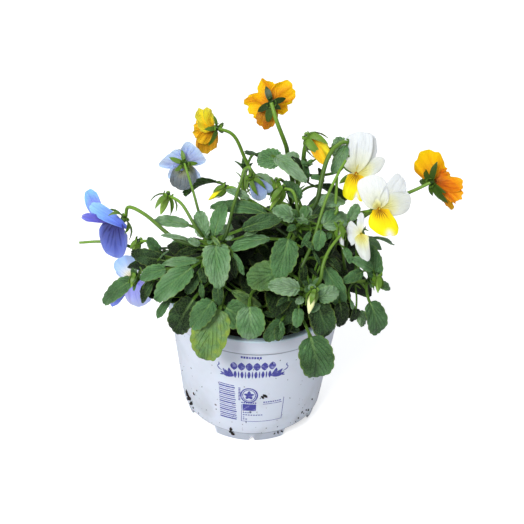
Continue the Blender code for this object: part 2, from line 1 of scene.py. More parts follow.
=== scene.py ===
"""Potted garden violas: the visible pot, soil, shoots, leaves and flowers.

Every piece is made in the CAD's own frame: +Z up, the centre of the pot's underside at
the origin, the front of the pot towards -Y. Tables are in millimetres, and a mesh turns
them into metres.
"""
import logging
import math
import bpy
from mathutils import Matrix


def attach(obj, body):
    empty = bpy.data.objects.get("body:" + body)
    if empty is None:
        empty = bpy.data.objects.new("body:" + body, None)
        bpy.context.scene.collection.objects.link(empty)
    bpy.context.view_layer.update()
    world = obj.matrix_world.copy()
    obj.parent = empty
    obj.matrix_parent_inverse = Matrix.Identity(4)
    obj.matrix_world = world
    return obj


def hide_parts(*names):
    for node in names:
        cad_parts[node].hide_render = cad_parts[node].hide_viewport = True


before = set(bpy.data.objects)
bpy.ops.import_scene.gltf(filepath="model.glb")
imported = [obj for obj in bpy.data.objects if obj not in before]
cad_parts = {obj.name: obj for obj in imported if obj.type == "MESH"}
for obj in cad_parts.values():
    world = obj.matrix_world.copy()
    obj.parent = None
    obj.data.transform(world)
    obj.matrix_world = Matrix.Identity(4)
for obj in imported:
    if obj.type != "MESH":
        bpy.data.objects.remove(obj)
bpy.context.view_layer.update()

import zlib
from dataclasses import dataclass, field, replace
from enum import Enum

import bmesh
import bpy
import numpy as np
from mathutils import Matrix, Vector

LOG = logging.getLogger("planter")
MM = 0.001
BODY = "root"
Array = np.ndarray
Draws = np.random.Generator
Colour = tuple[int, int, int]
Point = tuple[float, float, float]
Sockets = bpy.types.bpy_prop_collection

# A blade narrower than this, in millimetres, is made with fewer teeth and points.
SMALL_WIDTH = 8.0
# Where a blade without a stalk starts on the run of colour from a stalk's foot to its head.
BLADE_START = 0.45


class Hue(Enum):
    """Petal colours, as display values at the stops from the throat outwards."""

    WHITE = ((222, 216, 110), (222, 224, 196), (218, 222, 220), (224, 228, 228))
    LEMON = ((214, 190, 40), (222, 218, 140), (220, 224, 208), (226, 229, 222))
    IVORY = ((170, 190, 90), (222, 228, 150), (238, 240, 180), (240, 240, 190))
    LIP = ((176, 116, 4), (240, 186, 0), (248, 226, 0), (250, 234, 2))
    ORANGE = ((170, 92, 0), (216, 136, 0), (234, 164, 0), (246, 186, 0))
    TANGERINE = ((150, 70, 0), (206, 104, 2), (230, 126, 6), (240, 150, 10))
    AMBER = ((96, 54, 2), (138, 84, 2), (160, 104, 4), (180, 104, 4))
    YELLOW = ((214, 140, 10), (252, 208, 28), (255, 240, 46), (255, 238, 50))
    GOLD = ((140, 92, 8), (206, 140, 10), (244, 180, 18), (252, 196, 28))
    DRY = ((112, 84, 44), (146, 120, 76), (168, 140, 96), (126, 98, 58))
    UMBER = ((92, 62, 8), (122, 84, 6), (170, 114, 8), (196, 134, 16))
    DUSK = ((72, 62, 176), (96, 96, 220), (116, 140, 238), (112, 184, 246))
    SKY = ((66, 78, 188), (92, 116, 222), (116, 160, 242), (146, 204, 252))
    PALE = ((110, 130, 120), (140, 156, 206), (150, 172, 222), (170, 200, 238))
    SLATE = ((150, 150, 70), (124, 132, 92), (98, 110, 120), (62, 76, 88))
    VIOLET = ((52, 40, 116), (64, 60, 156), (84, 84, 190), (104, 112, 214))
    NAVY = ((36, 34, 92), (46, 50, 120), (66, 80, 160), (92, 112, 200))
    LAVENDER = ((96, 84, 160), (128, 130, 212), (152, 158, 232), (172, 184, 242))
    CREAM = ((250, 222, 130), (226, 224, 208), (166, 194, 246), (140, 182, 250))


# Where a hue's colours lie, as shares of the way from the throat to the rim.
STOPS = (0, 0.3, 0.65, 1)
# How strongly veins and whiskers show in each hue.
VEINS = {Hue.WHITE: 0.12, Hue.LEMON: 0.16, Hue.LIP: 0.1, Hue.PALE: 0.6, Hue.SLATE: 0.6,
         Hue.NAVY: 0.6}
USUAL_VEINS = 0.35
WHISKERS = {Hue.LIP: 1.0, Hue.LEMON: 0.35, Hue.CREAM: 0.5}
NOTCH_WHITE = (250, 248, 238)
KNOB_GREEN = (212, 200, 60)
BUD_GREEN = (128, 160, 70)


@dataclass(frozen=True)
class Petal:
    """A petal, fanned out from its root near the middle of the throat.

    root is measured from the throat and tip from the root; spread is half the fan's angle
    in degrees; rim gives the reach at even steps across the fan, as shares of the tip's.
    """

    tip: Point
    faces: Point
    hue: Hue
    spread: float
    rim: tuple[float, ...]
    notch: float = 0.0
    root: Point = (0, 0, 0)


def even_sepals(count: int, length: float, first: int = 15) -> tuple[tuple[int, float], ...]:
    """Turn in degrees and length of equal sepals at even steps."""
    return tuple((first + 360 // count * index, length) for index in range(count))


@dataclass(frozen=True)
class Flower:
    """A flower head and the stalk that carries it from a stem.

    sepals holds the turn in degrees and the length of each sepal; ruffle is the depth of
    the petals' waves in millimetres, crease how much painted shade darkens the valleys of
    the waves, flare how far the sepals open and broad how broad they are.
    """

    slot: str
    centre: Point
    faces: Point
    stem: str
    at: float
    stalk: tuple[Point, ...]
    petals: tuple[Petal, ...]
    sepals: tuple[tuple[float, float], ...]
    ruffle: float = 0.5
    crease: float = 0.3
    shade: float = 0.35
    thick: float = 1.15
    flare: float = 0.92
    broad: float = 1.0


@dataclass(frozen=True)
class Bud:
    """A bud on a hooked stalk: the last point of the stalk is where the bud starts."""

    stem: str
    at: float
    stalk: tuple[Point, ...]
    tip: Point
    radius: float
    hue: Hue | None = None
    open_calyx: bool = False


@dataclass(frozen=True)
class BladeShape:
    """Proportions of a leafy blade and how finely it is made.

    shoulder moves the widest place towards the base; wedge narrows the base and crown
    the tip. slant leans the side veins forward. pillows is the number of bulges between
    them, waves the number of waves along each side. The lengths are in millimetres.
    """

    rows: int = 52
    columns: int = 13
    teeth: float = 8.0
    scallop: float = 0.052
    slant: float = 2.5
    shoulder: float = 1.25
    wedge: float = 0.85
    crown: float = 1.05
    fold: float = 0.2
    pillows: int = 6
    quilt: float = 0.7
    waves: float = 1.6
    ruffle: float = 0.025
    twist: float = 0.06
    thickness: float = 0.35
    rib: float = 0.7
    neck: float = 0.9

    def small(self) -> "BladeShape":
        """The same proportions with fewer teeth and points and a thinner stalk."""
        return replace(self, rows=26, columns=9, teeth=5.0, neck=0.6, rib=0.5)

    def turn(self, row: Array) -> Array:
        """Angle round half of the outline at rows: its ends are cut off, so they are blunt."""
        return math.pi * (0.012 + 0.973 * row)

    def rise(self, row: Array) -> Array:
        """Share of the length at rows."""
        return ((1 - np.cos(self.turn(row))) / 2) ** self.shoulder

    def outline(self, row: Array, width: float, length: float) -> Array:
        """Half width and height at rows, without teeth."""
        turn = self.turn(row)
        power = np.where(turn < math.pi / 2, self.wedge, self.crown)
        return np.stack([np.sin(turn) ** power * width / 2, self.rise(row) * length], axis=-1)

    def side(self, row: Array, outline: Array, width: float,
             random: Draws) -> Array:
        """Outline of one side, with round teeth, and nowhere narrower than its stalk."""
        along = np.gradient(outline, axis=0)
        outward = unit(np.stack([along[:, 1], -along[:, 0]], axis=-1))
        tooth = (self.teeth * row + random.uniform(0, 1)) % 1
        wave = 1 - np.abs(2 * tooth ** 1.3 - 1) ** 2.4
        bite = (wave - 0.7) * self.scallop * width * ease(row, 0.06, 0.2)
        edge = outline + outward * bite[:, None]
        edge[:, 0] = np.maximum(edge[:, 0], self.neck * (1 - 0.7 * row))
        return edge

    def lift(self, row: Array, column: Array, x: Array, length: float,
             random: Draws) -> Array:
        """Height over the blade's arc: its fold, pillows, waves and twist."""
        reach = np.abs(column)
        turns = 2 * math.pi * row
        swell = (0.5 - 0.5 * np.cos(turns * self.pillows))[:, None] * np.sin(math.pi * reach)
        phase = random.uniform(0, 2 * math.pi, 2)
        sway = np.where(column < 0, phase[0], phase[1])
        wave = np.sin((turns * self.waves)[:, None] + sway) * reach ** 2
        twist = random.normal(0, self.twist)
        return (self.fold * np.abs(x) + self.quilt * swell
                + self.ruffle * length * wave * ease(row, 0.1, 0.4)[:, None]
                + x * twist * row[:, None] * 2)

    def depth(self, column: Array, young: Array) -> Array:
        """Thickness: a round stalk that flattens into a sheet with thin edges."""
        stalk = 2 * self.neck * np.sqrt(1 - column ** 2)
        sheet = self.thickness * np.sqrt(1 - column ** 8)
        return blend(stalk, sheet, young)


OVATE = BladeShape()
ROUND = BladeShape(teeth=7.0, scallop=0.036, shoulder=1.1, wedge=0.62, crown=0.92)
BROAD = BladeShape(teeth=8.5, shoulder=1.75, wedge=0.6, crown=1.1)
LANCE = BladeShape(teeth=6.5, scallop=0.045, slant=1.7, shoulder=1.05, wedge=1.2, crown=1.3)
HIDDEN = BladeShape(rows=9, columns=5, scallop=0.0, quilt=0.0, rib=0.3)
YOUNG = BladeShape(rows=11, columns=7, teeth=3.5, scallop=0.03, crown=1.1, fold=0.3,
                   quilt=0.1, thickness=0.3, rib=0.4, neck=0.5)
SEPAL = BladeShape(rows=9, columns=5, teeth=0.0, scallop=0.0, shoulder=1.15, wedge=0.5,
                   crown=1.7, fold=0.22, quilt=0.0, ruffle=0.0, thickness=0.4, rib=0.2,
                   neck=0.5)
LOBE = BladeShape(rows=7, columns=5, teeth=0.0, scallop=0.0, wedge=0.5, crown=0.6,
                  quilt=0.0, ruffle=0.0, thickness=0.4, rib=0.0, neck=0.5)


@dataclass(frozen=True)
class Leaf:
    """A leaf: where its stalk leaves a stem, its blade from base to tip and its facing."""

    stem: str
    at: float
    base: Point
    tip: Point
    width: float
    faces: Point
    shape: BladeShape = OVATE
    # tone runs the green from dark to light; above about 1 it adds painted sheen, below 0 painted shade.
    tone: float = 0.5
    age: float = 0.0
    arch: float = 0.12


# Main stems, from the soil's surface to the tip.
STEMS = {
    "left": ((-12, -10, 89.6), (-18, -22, 122), (-26, -40, 150), (-27, -50, 168)),
    "far_left": ((-19, 0, 89.6), (-38, -10, 114), (-58, -26, 124), (-73, -38, 129)),
    "upper": ((4, 12, 89.6), (14, 10, 135), (22, 6, 165), (27, 2, 190)),
    "centre": ((9, -4, 89.6), (17, -18, 130), (22, -30, 158), (25, -40, 177)),
    "front": ((4, -18, 89.6), (14, -36, 112), (25, -52, 128), (33, -62, 143)),
    "right": ((19, -2, 89.6), (38, -16, 110), (56, -30, 127), (70, -41, 136)),
    "back": ((-4, 22, 89.6), (-8, 32, 120), (-10, 38, 145), (-10, 42, 165)),
}

# The leaves that the CAD has. Their tones also carry painted light: tones above about 1 add painted sheen
# and tones below 0 painted shade.
LEAVES = {
    "hanging_left": Leaf("left", 0.93, (-24, -58, 169), (-21, -73, 149), 16.2, (0, -1, 0.7), BROAD, 1.2),
    "left_diagonal": Leaf("left", 0.62, (-38, -58, 153), (-60, -60, 129), 13.6, (-0.3, -1, 0.7), OVATE,
                          1.1),
    "left_dark": Leaf("left", 0.72, (-55, -46, 149), (-77, -36, 147), 10.8, (-0.2, -1, 0.5), OVATE, -0.1),
    "far_left": Leaf("far_left", 0.95, (-76, -42, 131), (-97, -34, 105), 10.8, (-0.5, -1, 0.8), OVATE, 0.6),
    "lower_left_dark": Leaf("left", 0.30, (-37, -60, 131), (-48, -64, 108), 16.4, (-0.4, -1, 0.4),
                            ROUND, 0),
    "lower_left": Leaf("left", 0.42, (-25, -69, 137), (-37, -75, 121), 13.5, (-0.2, -1, 0.6), OVATE, 0.7),
    "yellow_front_left": Leaf("left", 0.14, (-21, -69, 131), (-30, -77, 99), 22.2, (-0.2, -1, 0.4),
                              ROUND, 1.1, 1),
    "rim_left": Leaf("front", 0.30, (-17, -67, 131), (-3, -71, 125), 17.3, (0, -1, 0.6), ROUND, 0.65, 0.05),
    "rim_centre": Leaf("front", 0.42, (-3, -73, 137), (-1, -79, 118), 17.2, (0, -1, 0.5), ROUND, 1.2),
    "centre_hanging": Leaf("centre", 0.92, (18, -51, 171), (13, -63, 151), 15.9, (0, -1, 0.6), OVATE, 0.75),
    "centre_oval": Leaf("front", 0.84, (25, -72, 151), (7, -77, 156), 10.6, (0, -0.8, 0.7), OVATE, 1.4),
    "centre_long": Leaf("centre", 0.60, (7, -50, 170), (-16, -57, 165), 9.3, (0, -0.4, 1), LANCE, 1.1),
    "top_left": Leaf("centre", 0.80, (5, -37, 179), (-29, -33, 179), 9.9, (0, -0.3, 1), LANCE, 0.6),
    "left_horizontal": Leaf("left", 0.80, (-41, -37, 169), (-64, -25, 164), 7.7, (-0.1, -0.7, 0.8),
                            LANCE, 1.4),
    "upper_left": Leaf("upper", 0.80, (12, 0, 195), (-2, 9, 192), 14.3, (0, -0.8, 0.9), OVATE, 1.2),
    "upper_front": Leaf("upper", 0.97, (9, -10, 203), (28, -21, 193), 9.2, (-0.3, -0.6, 1), OVATE, 1.4),
    "upper_right": Leaf("upper", 0.93, (52, 6, 195), (48, 12, 208), 12.1, (-0.2, -1, 0.7), OVATE, 1.5),
    "right_blade": Leaf("centre", 0.86, (38, -42, 176), (55, -24, 171), 13.6, (0, -0.8, 1), OVATE, 1.4),
    "right_round": Leaf("right", 0.90, (73, -44, 141), (68, -32, 157), 11.1, (0.3, -1, 0.5), ROUND, 0.6),
    "right_long": Leaf("front", 0.35, (41, -53, 153), (54, -57, 124), 11.1, (0.4, -1, 0.5), OVATE, 1),
    "front_right_dark": Leaf("front", 0.92, (36, -67, 139), (44, -69, 114), 16.0, (0.2, -1, 0.5), ROUND,
                             0.1),
    "front_right_round": Leaf("front", 0.52, (34, -74, 117), (42, -76, 88), 21.6, (0.2, -1, 0.3), ROUND,
                              0.5),
    "far_right": Leaf("right", 0.97, (71, -49, 126), (79, -46, 99), 14.0, (0.4, -1, 0.4), ROUND, 0.7),
    "back_left": Leaf("back", 0.55, (-30, 56, 148), (-54, 66, 130), 18.0, (-0.4, 1, 0.7)),
    "back_top": Leaf("back", 0.95, (-6, 52, 172), (4, 72, 158), 17.0, (0, 0.8, 1)),
    "back_right": Leaf("upper", 0.50, (38, 42, 156), (60, 56, 134), 18.0, (0.4, 1, 0.7)),
}

# Smaller leaves between the main ones: base, tip, width, shape, tone and age. As with the main leaves,
# tones above about 1 add painted sheen and tones below 0 painted shade.
SMALL_LEAVES = (
    ((-54, -52, 147), (-71, -46, 135), 9.1, OVATE, 1.1, 0),
    ((52, -2, 209), (44, -8, 192), 7.8, LANCE, 1.1, 0),
    ((15, 0, 197), (24, 2, 198), 7.9, OVATE, 1.5, 0),
    ((26, -8, 190), (19, 0, 199), 7.1, LANCE, -0.35, 0),
    ((35, -30, 184), (52, -22, 181), 9.5, OVATE, 1.5, 0),
    ((55, -30, 173), (60, -24, 181), 7.2, OVATE, 1.3, 0),
    ((68, -20, 155), (89, -6, 141), 2.9, LANCE, 1.5, 0),
    ((70, -46, 149), (56, -48, 157), 7.4, OVATE, 0.95, 0),
    ((64, -48, 148), (52, -54, 144), 7.1, OVATE, 0.6, 0),
    ((51, -60, 133), (53, -62, 117), 10.9, ROUND, -0.35, 0),
    ((62, -56, 126), (60, -56, 116), 6.9, OVATE, -0.35, 0),
    ((64, -52, 120), (69, -50, 109), 8.7, ROUND, 1.5, 0.15),
    ((16, -70, 125), (7, -78, 116), 9.6, ROUND, 0.55, 0),
    ((16, -71, 123), (14, -79, 117), 6.5, OVATE, 0.2, 0),
    ((20, -62, 115), (28, -60, 110), 4.8, OVATE, 0.15, 0),
    ((-9, -53, 178), (14, -44, 181), 10.3, LANCE, 0.3, 0),
    ((-8, -54, 174), (0, -50, 175), 3.0, LANCE, 1.4, 0.2),
    ((-25, -53, 173), (-20, -40, 187), 9.5, LANCE, 1, 0),
    ((-31, -51, 170), (-35, -38, 180), 9.8, OVATE, 1.4, 0),
    ((-59, -42, 153), (-65, -44, 164), 6.9, OVATE, 0.4, 0),
    ((-41, -46, 165), (-58, -40, 163), 3.0, LANCE, 1.5, 0),
    ((-34, -50, 164), (-41, -49, 167), 4.6, OVATE, 1.5, 0),
    ((-36, -46, 158), (-48, -50, 155), 5.4, OVATE, -0.05, 0),
    ((-34, -55, 156), (-56, -54, 152), 5.9, LANCE, 1.2, 0),
    ((-64, -40, 128), (-71, -42, 113), 6.4, LANCE, 0.1, 0),
    ((-58, -46, 151), (-53, -44, 155), 1.3, LANCE, 1.5, 0),
    ((-35, -56, 147), (-41, -60, 135), 9.0, OVATE, 0.2, 0),
    ((-32, -62, 145), (-31, -66, 136), 3.6, LANCE, 0.4, 0),
    ((-22, -66, 148), (-21, -70, 135), 7.0, LANCE, 0.1, 0),
    ((-51, -56, 128), (-60, -54, 111), 5.7, LANCE, 0.65, 0),
    ((-32, -58, 153), (-30, -62, 145), 5.3, OVATE, 0.05, 0),
    ((14, -58, 152), (-5, -64, 149), 17.7, ROUND, 0.75, 0.2),
    ((-14, -66, 143), (4, -68, 134), 5.8, LANCE, 0.45, 0.35),
    ((-14, -60, 166), (-7, -62, 152), 4.6, LANCE, 1.2, 0),
    ((20, -62, 137), (18, -66, 119), 14.5, ROUND, 0.2, 0),
    ((26, -70, 135), (25, -74, 124), 7.1, OVATE, 1.1, 0),
    ((28, -70, 143), (24, -72, 140), 4.6, OVATE, 1.5, 0),
    ((33, -66, 145), (33, -64, 149), 5.3, OVATE, 1.5, 0),
    ((37, -68, 142), (49, -62, 144), 10.3, OVATE, 1.2, 0),
    ((38, -69, 138), (33, -72, 134), 4.1, OVATE, 1.5, 0),
    ((28, -40, 179), (29, -34, 184), 6.4, OVATE, 1.5, 0),
    ((30, -44, 178), (22, -42, 180), 3.7, OVATE, 1.5, 0),
    ((28, -42, 179), (37, -38, 181), 2.3, LANCE, 0.15, 0.4),
    ((21, -40, 179), (8, -40, 184), 10.7, OVATE, 1.4, 0),
    ((24, -26, 183), (15, -16, 190), 9.1, OVATE, 0.65, 0),
    ((10, 12, 164), (-7, 22, 173), 17.4, OVATE, 1.5, 0),
    ((37, -46, 175), (35, -53, 165), 7.8, LANCE, 1.1, 0),
    ((75, -40, 134), (85, -34, 126), 5.7, OVATE, 1.5, 0),
    ((-6, -28, 184), (-20, -24, 187), 5.8, OVATE, 1.5, 0),
    ((38, -10, 189), (31, -12, 191), 6.5, OVATE, 0.6, 0),
    ((39, -4, 183), (36, 0, 192), 5.6, LANCE, -0.35, 0),
    ((30, -6, 187), (25, -2, 198), 5.3, LANCE, 1, 0),
    ((-19, -54, 172), (-14, -52, 172), 4.2, OVATE, 1.5, 0),
    ((22, -46, 177), (17, -48, 175), 4.1, OVATE, 0.45, 0),
    ((27, -58, 160), (28, -60, 146), 5.4, LANCE, -0.15, 0),
    ((-14, -62, 164), (-12, -63, 150), 4.6, LANCE, -0.35, 0),
    ((-6, -62, 139), (2, -63, 136), 3.5, LANCE, -0.35, 0),
    ((5, -66, 128), (13, -68, 127), 3.5, LANCE, 0.15, 0),
    ((43, -44, 172), (41, -46, 169), 3.5, OVATE, 0.75, 0),
    ((58, -56, 132), (60, -56, 125), 2.7, LANCE, 1.3, 0),
    ((33, -50, 163), (38, -56, 156), 2.3, LANCE, 0.4, 0),
    ((30, -54, 154), (37, -58, 150), 2.4, LANCE, -0.35, 0),
    ((26, -58, 151), (32, -62, 142), 3.0, LANCE, 0.3, 0),
    ((38, -44, 167), (41, -48, 158), 3.1, LANCE, -0.35, 0),
    ((43, -50, 158), (50, -54, 152), 5.1, OVATE, 0.05, 0),
    ((52, -46, 163), (56, -50, 155), 5.3, OVATE, 1.1, 0),
    ((45, -46, 169), (43, -50, 160), 4.2, OVATE, -0.35, 0),
    ((31, -46, 174), (26, -50, 165), 3.5, LANCE, 0.8, 0),
    ((18, -44, 178), (23, -48, 171), 3.0, LANCE, 0.05, 0),
    ((27, -48, 169), (33, -52, 165), 3.8, LANCE, 0.75, 0),
    ((-26, -54, 172), (-21, -60, 170), 2.9, LANCE, 1.1, 0.8),
)

# Flowers, each with its petals from the hindmost to the foremost.
FLOWERS = {
    "orange_top": Flower(
        "petal_orange", (5, 8, 231), (0, 0.95, -0.3), "upper", 0.72,
        ((17, 7, 196), (15, 2, 206), (9, -1, 222)),
        (Petal((-9, 8, 9), (0.3, 0.8, -0.5), Hue.ORANGE, 40, (0.77, 0.87, 1, 0.93, 0.7, 0.77, 0.8)),
         Petal((12, 6, 10), (-0.2, 0.9, -0.3), Hue.ORANGE, 45, (0.75, 0.92, 0.93, 1, 0.96, 0.68, 0.62)),
         Petal((-16, 5, -7), (0.4, 0.9, -0.2), Hue.ORANGE, 32, (0.72, 0.97, 1, 0.97, 0.95, 0.88, 0.8)),
         Petal((11, 3, -6), (-0.4, 0.9, -0.3), Hue.ORANGE, 30, (0.72, 0.92, 1, 0.97, 0.95, 0.97, 1.05)),
         Petal((-3, -9, -14), (0, 0.8, -0.5), Hue.AMBER, 33, (0.8, 0.88, 0.93, 1, 0.92, 0.74, 0.66))),
        ((115, 9), (20, 8), (330, 6), (265, 12), (220, 9)),
        ruffle=1.3, crease=0.8, shade=1.0, thick=1.35),
    "yellow_side": Flower(
        "petal_yellow", (-31, 26, 204), (-0.75, 0.6, -0.25), "upper", 0.55,
        ((-5, 24, 174), (-17, 26, 198)),
        (Petal((-13, -5, 10), (-0.5, 0.8, -0.3), Hue.YELLOW, 37, (0.62, 0.95, 1, 0.88, 0.7, 0.6, 0.57)),
         Petal((0, 6, 13), (-0.9, 0.5, -0.2), Hue.YELLOW, 43, (0.4, 0.48, 0.62, 0.76, 0.85, 1, 0.97)),
         Petal((-12, -6, 0), (-0.4, 0.9, -0.2), Hue.GOLD, 31, (0.85, 0.93, 0.96, 1, 1, 0.98, 0.9)),
         Petal((-7, -7, -8), (-0.5, 0.8, -0.2), Hue.GOLD, 35, (0.8, 0.95, 1, 1, 0.98, 0.85, 0.65)),
         Petal((-3, -6, -17), (-0.4, 0.9, -0.2), Hue.UMBER, 34, (0.85, 0.98, 1, 0.95, 0.85, 0.72, 0.6))),
        ((70, 7), (155, 8), (220, 11), (350, 8), (310, 8)),
        ruffle=0.8, crease=0.35),
    "pale_back": Flower(
        "petal_pale_blue", (-47, 0, 192), (-0.05, 0.95, -0.3), "left", 0.98,
        ((-33, -44, 176), (-40, -22, 184)),
        (Petal((-16, 6, 4), (0.3, 0.9, -0.3), Hue.PALE, 48, (0.5, 0.56, 0.6, 0.67, 0.82, 1.12, 0.42)),
         Petal((10, 4, 9), (-0.1, 0.9, -0.3), Hue.PALE, 65, (0.4, 0.98, 0.88, 0.82, 0.88, 0.95, 0.55)),
         Petal((-12, -2, -10), (0.2, 0.9, -0.4), Hue.PALE, 24, (0.6, 0.68, 0.78, 0.92, 1, 0.72, 0.45)),
         Petal((10, -1, -10), (-0.3, 0.9, -0.4), Hue.PALE, 14, (0.85, 0.92, 0.97, 1, 0.95, 0.8, 0.6)),
         Petal((-1, -9, -15), (0, 0.9, -0.5), Hue.SLATE, 35, (0.85, 0.95, 0.97, 1, 0.95, 0.86, 0.75))),
        ((105, 7), (165, 9), (225, 7), (0, 7), (300, 5)),
        ruffle=0.35, crease=0.3, thick=0.8),
    "blue_side": Flower(
        "petal_blue", (-86, -18, 158), (-0.7, -0.5, -0.5), "left", 0.80,
        ((-48, -44, 163), (-68, -29, 170), (-80, -20, 170)),
        (Petal((-15, 22, 11), (-0.3, -0.6, 0.7), Hue.DUSK, 13, (0.72, 0.86, 0.97, 1, 0.99, 0.93, 0.8),
               root=(-10, 1, -3)),
         Petal((-21, 5, 1), (-0.1, -0.6, 0.8), Hue.VIOLET, 9, (0.8, 0.92, 1, 1, 1, 0.95, 0.85),
               root=(-4, -1, -1)),
         Petal((-3, -8, -24), (-0.4, -0.8, 0.3), Hue.NAVY, 52,
               (0.45, 0.72, 0.97, 0.96, 0.9, 0.72, 0.55), root=(-2, 1, 1)),
         Petal((-27, 15, 8), (-0.2, -0.7, 0.7), Hue.SKY, 9, (0.84, 0.95, 1, 1, 1, 0.95, 0.84),
               root=(7, -5, -3))),
        even_sepals(5, 13),
        ruffle=0.15, flare=0.75),
    "blue_low": Flower(
        "petal_blue", (-84, 4, 99), (-0.3, -0.9, 0.3), "far_left", 0.68,
        ((-72, -6, 118), (-80, 12, 106)),
        (Petal((-9, 8, 13), (-0.2, -0.9, 0.4), Hue.CREAM, 48, (0.7, 0.92, 1, 0.97, 0.92, 0.88, 0.7)),
         Petal((-17, -4, -20), (-0.3, -0.8, 0.4), Hue.NAVY, 13, (0.8, 0.95, 1, 1, 1, 0.95, 0.8)),
         Petal((8, -8, -17), (0, -0.9, 0.4), Hue.LAVENDER, 46, (0.45, 0.78, 0.95, 1, 0.97, 0.9, 0.66))),
        ((115, 8), (175, 8), (10, 7), (255, 6), (310, 7)),
        ruffle=0.4, thick=0.9),
    "blue_half": Flower(
        "petal_pale_blue", (-4, 8, 176), (0.5, 0.1, -0.85), "upper", 0.40,
        ((-8, 14, 160), (-11, 14, 178), (-7, 12, 184)),
        (Petal((13, 1, -5), (0.3, -0.7, 0.6), Hue.PALE, 22, (0.55, 0.72, 0.88, 1, 1, 0.93, 0.8)),
         Petal((4, -6, -11), (0.1, -0.8, 0.5), Hue.PALE, 35, (0.85, 0.97, 1, 0.97, 0.88, 0.75, 0.45))),
        even_sepals(6, 11),
        ruffle=0.2, shade=0.1, flare=0.4),
    "yellow_bud": Flower(
        "petal_yellow", (30, 0, 211), (0.78, 0, -0.6), "upper", 0.97,
        ((27, 3, 204), (30, 4, 212)),
        (Petal((13, 2, -9), (0.5, -0.5, 0.6), Hue.YELLOW, 22, (0.7, 0.9, 1, 1, 1, 0.9, 0.7)),
         Petal((12, -5, -10), (0.1, -0.8, 0.5), Hue.YELLOW, 20, (0.7, 0.9, 1, 1, 1, 0.9, 0.7)),
         Petal((9, -11, -10), (-0.4, -0.8, 0.4), Hue.GOLD, 15, (0.7, 0.9, 1, 1, 1, 0.9, 0.7))),
        even_sepals(6, 13),
        ruffle=0.3, shade=0.1, thick=1.3, flare=0.4, broad=1.45),
    "white_upper": Flower(
        "petal_white", (59, -8, 193), (0.1, -0.9, 0.3), "centre", 0.95,
        ((34, -30, 184), (37, -20, 195), (40, -12, 204), (45, -6, 210), (53, 1, 209)),
        (Petal((11, 13, 20), (0.2, -0.9, 0.5), Hue.WHITE, 21, (0.97, 1, 1, 0.99, 0.87, 0.77, 0.6)),
         Petal((-4, 13, 22), (-0.1, -0.9, 0.5), Hue.WHITE, 28, (0.66, 0.8, 0.9, 0.97, 1, 1, 0.97)),
         Petal((18, 7, 7), (0.1, -0.8, 0.6), Hue.LEMON, 33, (0.35, 0.62, 0.9, 1, 0.83, 0.66, 0.42)),
         Petal((-5, 1, -3), (-0.4, -0.8, 0.3), Hue.LEMON, 29, (0.6, 0.8, 0.95, 1, 0.95, 0.8, 0.6)),
         Petal((-3, -12, -14), (-0.1, -0.8, 0.7), Hue.LIP, 38,
               (0.8, 0.97, 0.95, 0.93, 0.93, 0.78, 0.48), notch=0.14)),
        ((65, 12), (30, 9), (330, 11), (210, 5), (150, 5)),
        ruffle=0.15, crease=0.04, thick=1.3),
    "white_front": Flower(
        "petal_white", (72, -32, 183), (0.1, -0.85, 0.4), "centre", 0.75,
        ((44, -32, 162), (58, -17, 168), (69, -24, 177)),
        (Petal((14, 11, 16), (0.2, -0.9, 0.4), Hue.WHITE, 25, (0.6, 0.97, 1, 0.97, 0.93, 0.84, 0.65)),
         Petal((-7, 10, 17), (-0.1, -0.9, 0.5), Hue.WHITE, 40, (0.6, 0.97, 1, 1, 0.96, 0.86, 0.6)),
         Petal((20, 5, 1), (0.2, -0.9, 0.5), Hue.LEMON, 32, (0.85, 0.99, 1, 0.95, 0.86, 0.7, 0.4)),
         Petal((-6, 7, 8), (-0.3, -0.8, 0.5), Hue.LEMON, 27, (0.5, 0.8, 0.95, 1, 0.95, 0.8, 0.5)),
         Petal((2, -13, -15), (0, -0.8, 0.7), Hue.LIP, 59, (0.3, 0.85, 1, 0.82, 0.72, 0.62, 0.35),
               notch=0.06)),
        ((350, 5), (190, 5), (90, 5), (40, 5), (140, 5)),
        ruffle=0.15, crease=0.04),
    "white_side": Flower(
        "petal_white", (61, -40, 170), (-0.1, -0.75, -0.4), "right", 0.78,
        ((64, -28, 156), (63, -31, 174)),
        (Petal((0, 8, 10), (-0.3, -0.7, 0.6), Hue.WHITE, 16, (0.6, 0.8, 0.95, 1, 0.95, 0.8, 0.6),
               root=(0, -3, 2)),
         Petal((-8, 5, -3), (-0.6, -0.7, 0.3), Hue.WHITE, 53, (0.95, 0.9, 0.88, 0.92, 0.97, 1, 0.95),
               root=(0, -3, 2)),
         Petal((3, -9, -15), (0, -0.8, 0.5), Hue.LEMON, 33, (0.4, 0.6, 1, 0.9, 0.72, 0.56, 0.42),
               root=(0, -3, 2))),
        even_sepals(5, 4),
        ruffle=0.3, crease=0.1, thick=0.9),
    "orange_right": Flower(
        "petal_orange", (110, 2, 185), (0.75, 0.65, -0.05), "right", 0.60,
        ((60, -16, 160), (86, -4, 174), (100, -1, 181)),
        (Petal((-8, 9, 18), (0.3, 0.9, -0.3), Hue.ORANGE, 57, (0.5, 0.7, 0.9, 0.95, 0.88, 0.7, 0.4)),
         Petal((15, -8, 10), (0.6, 0.7, -0.3), Hue.TANGERINE, 34, (0.85, 1, 0.95, 0.6, 0.56, 0.56, 0.56)),
         Petal((14, -14, -5), (0.6, 0.7, -0.2), Hue.TANGERINE, 21, (0.8, 0.9, 0.96, 1, 1, 0.93, 0.8)),
         Petal((11, -11, -15), (0.5, 0.8, -0.2), Hue.AMBER, 16, (0.5, 0.6, 0.75, 1, 0.9, 0.8, 0.7))),
        ((110, 12), (165, 10), (355, 10), (335, 15), (220, 12), (195, 10), (290, 9)),
        ruffle=1.4, crease=0.8, shade=0.9),
}

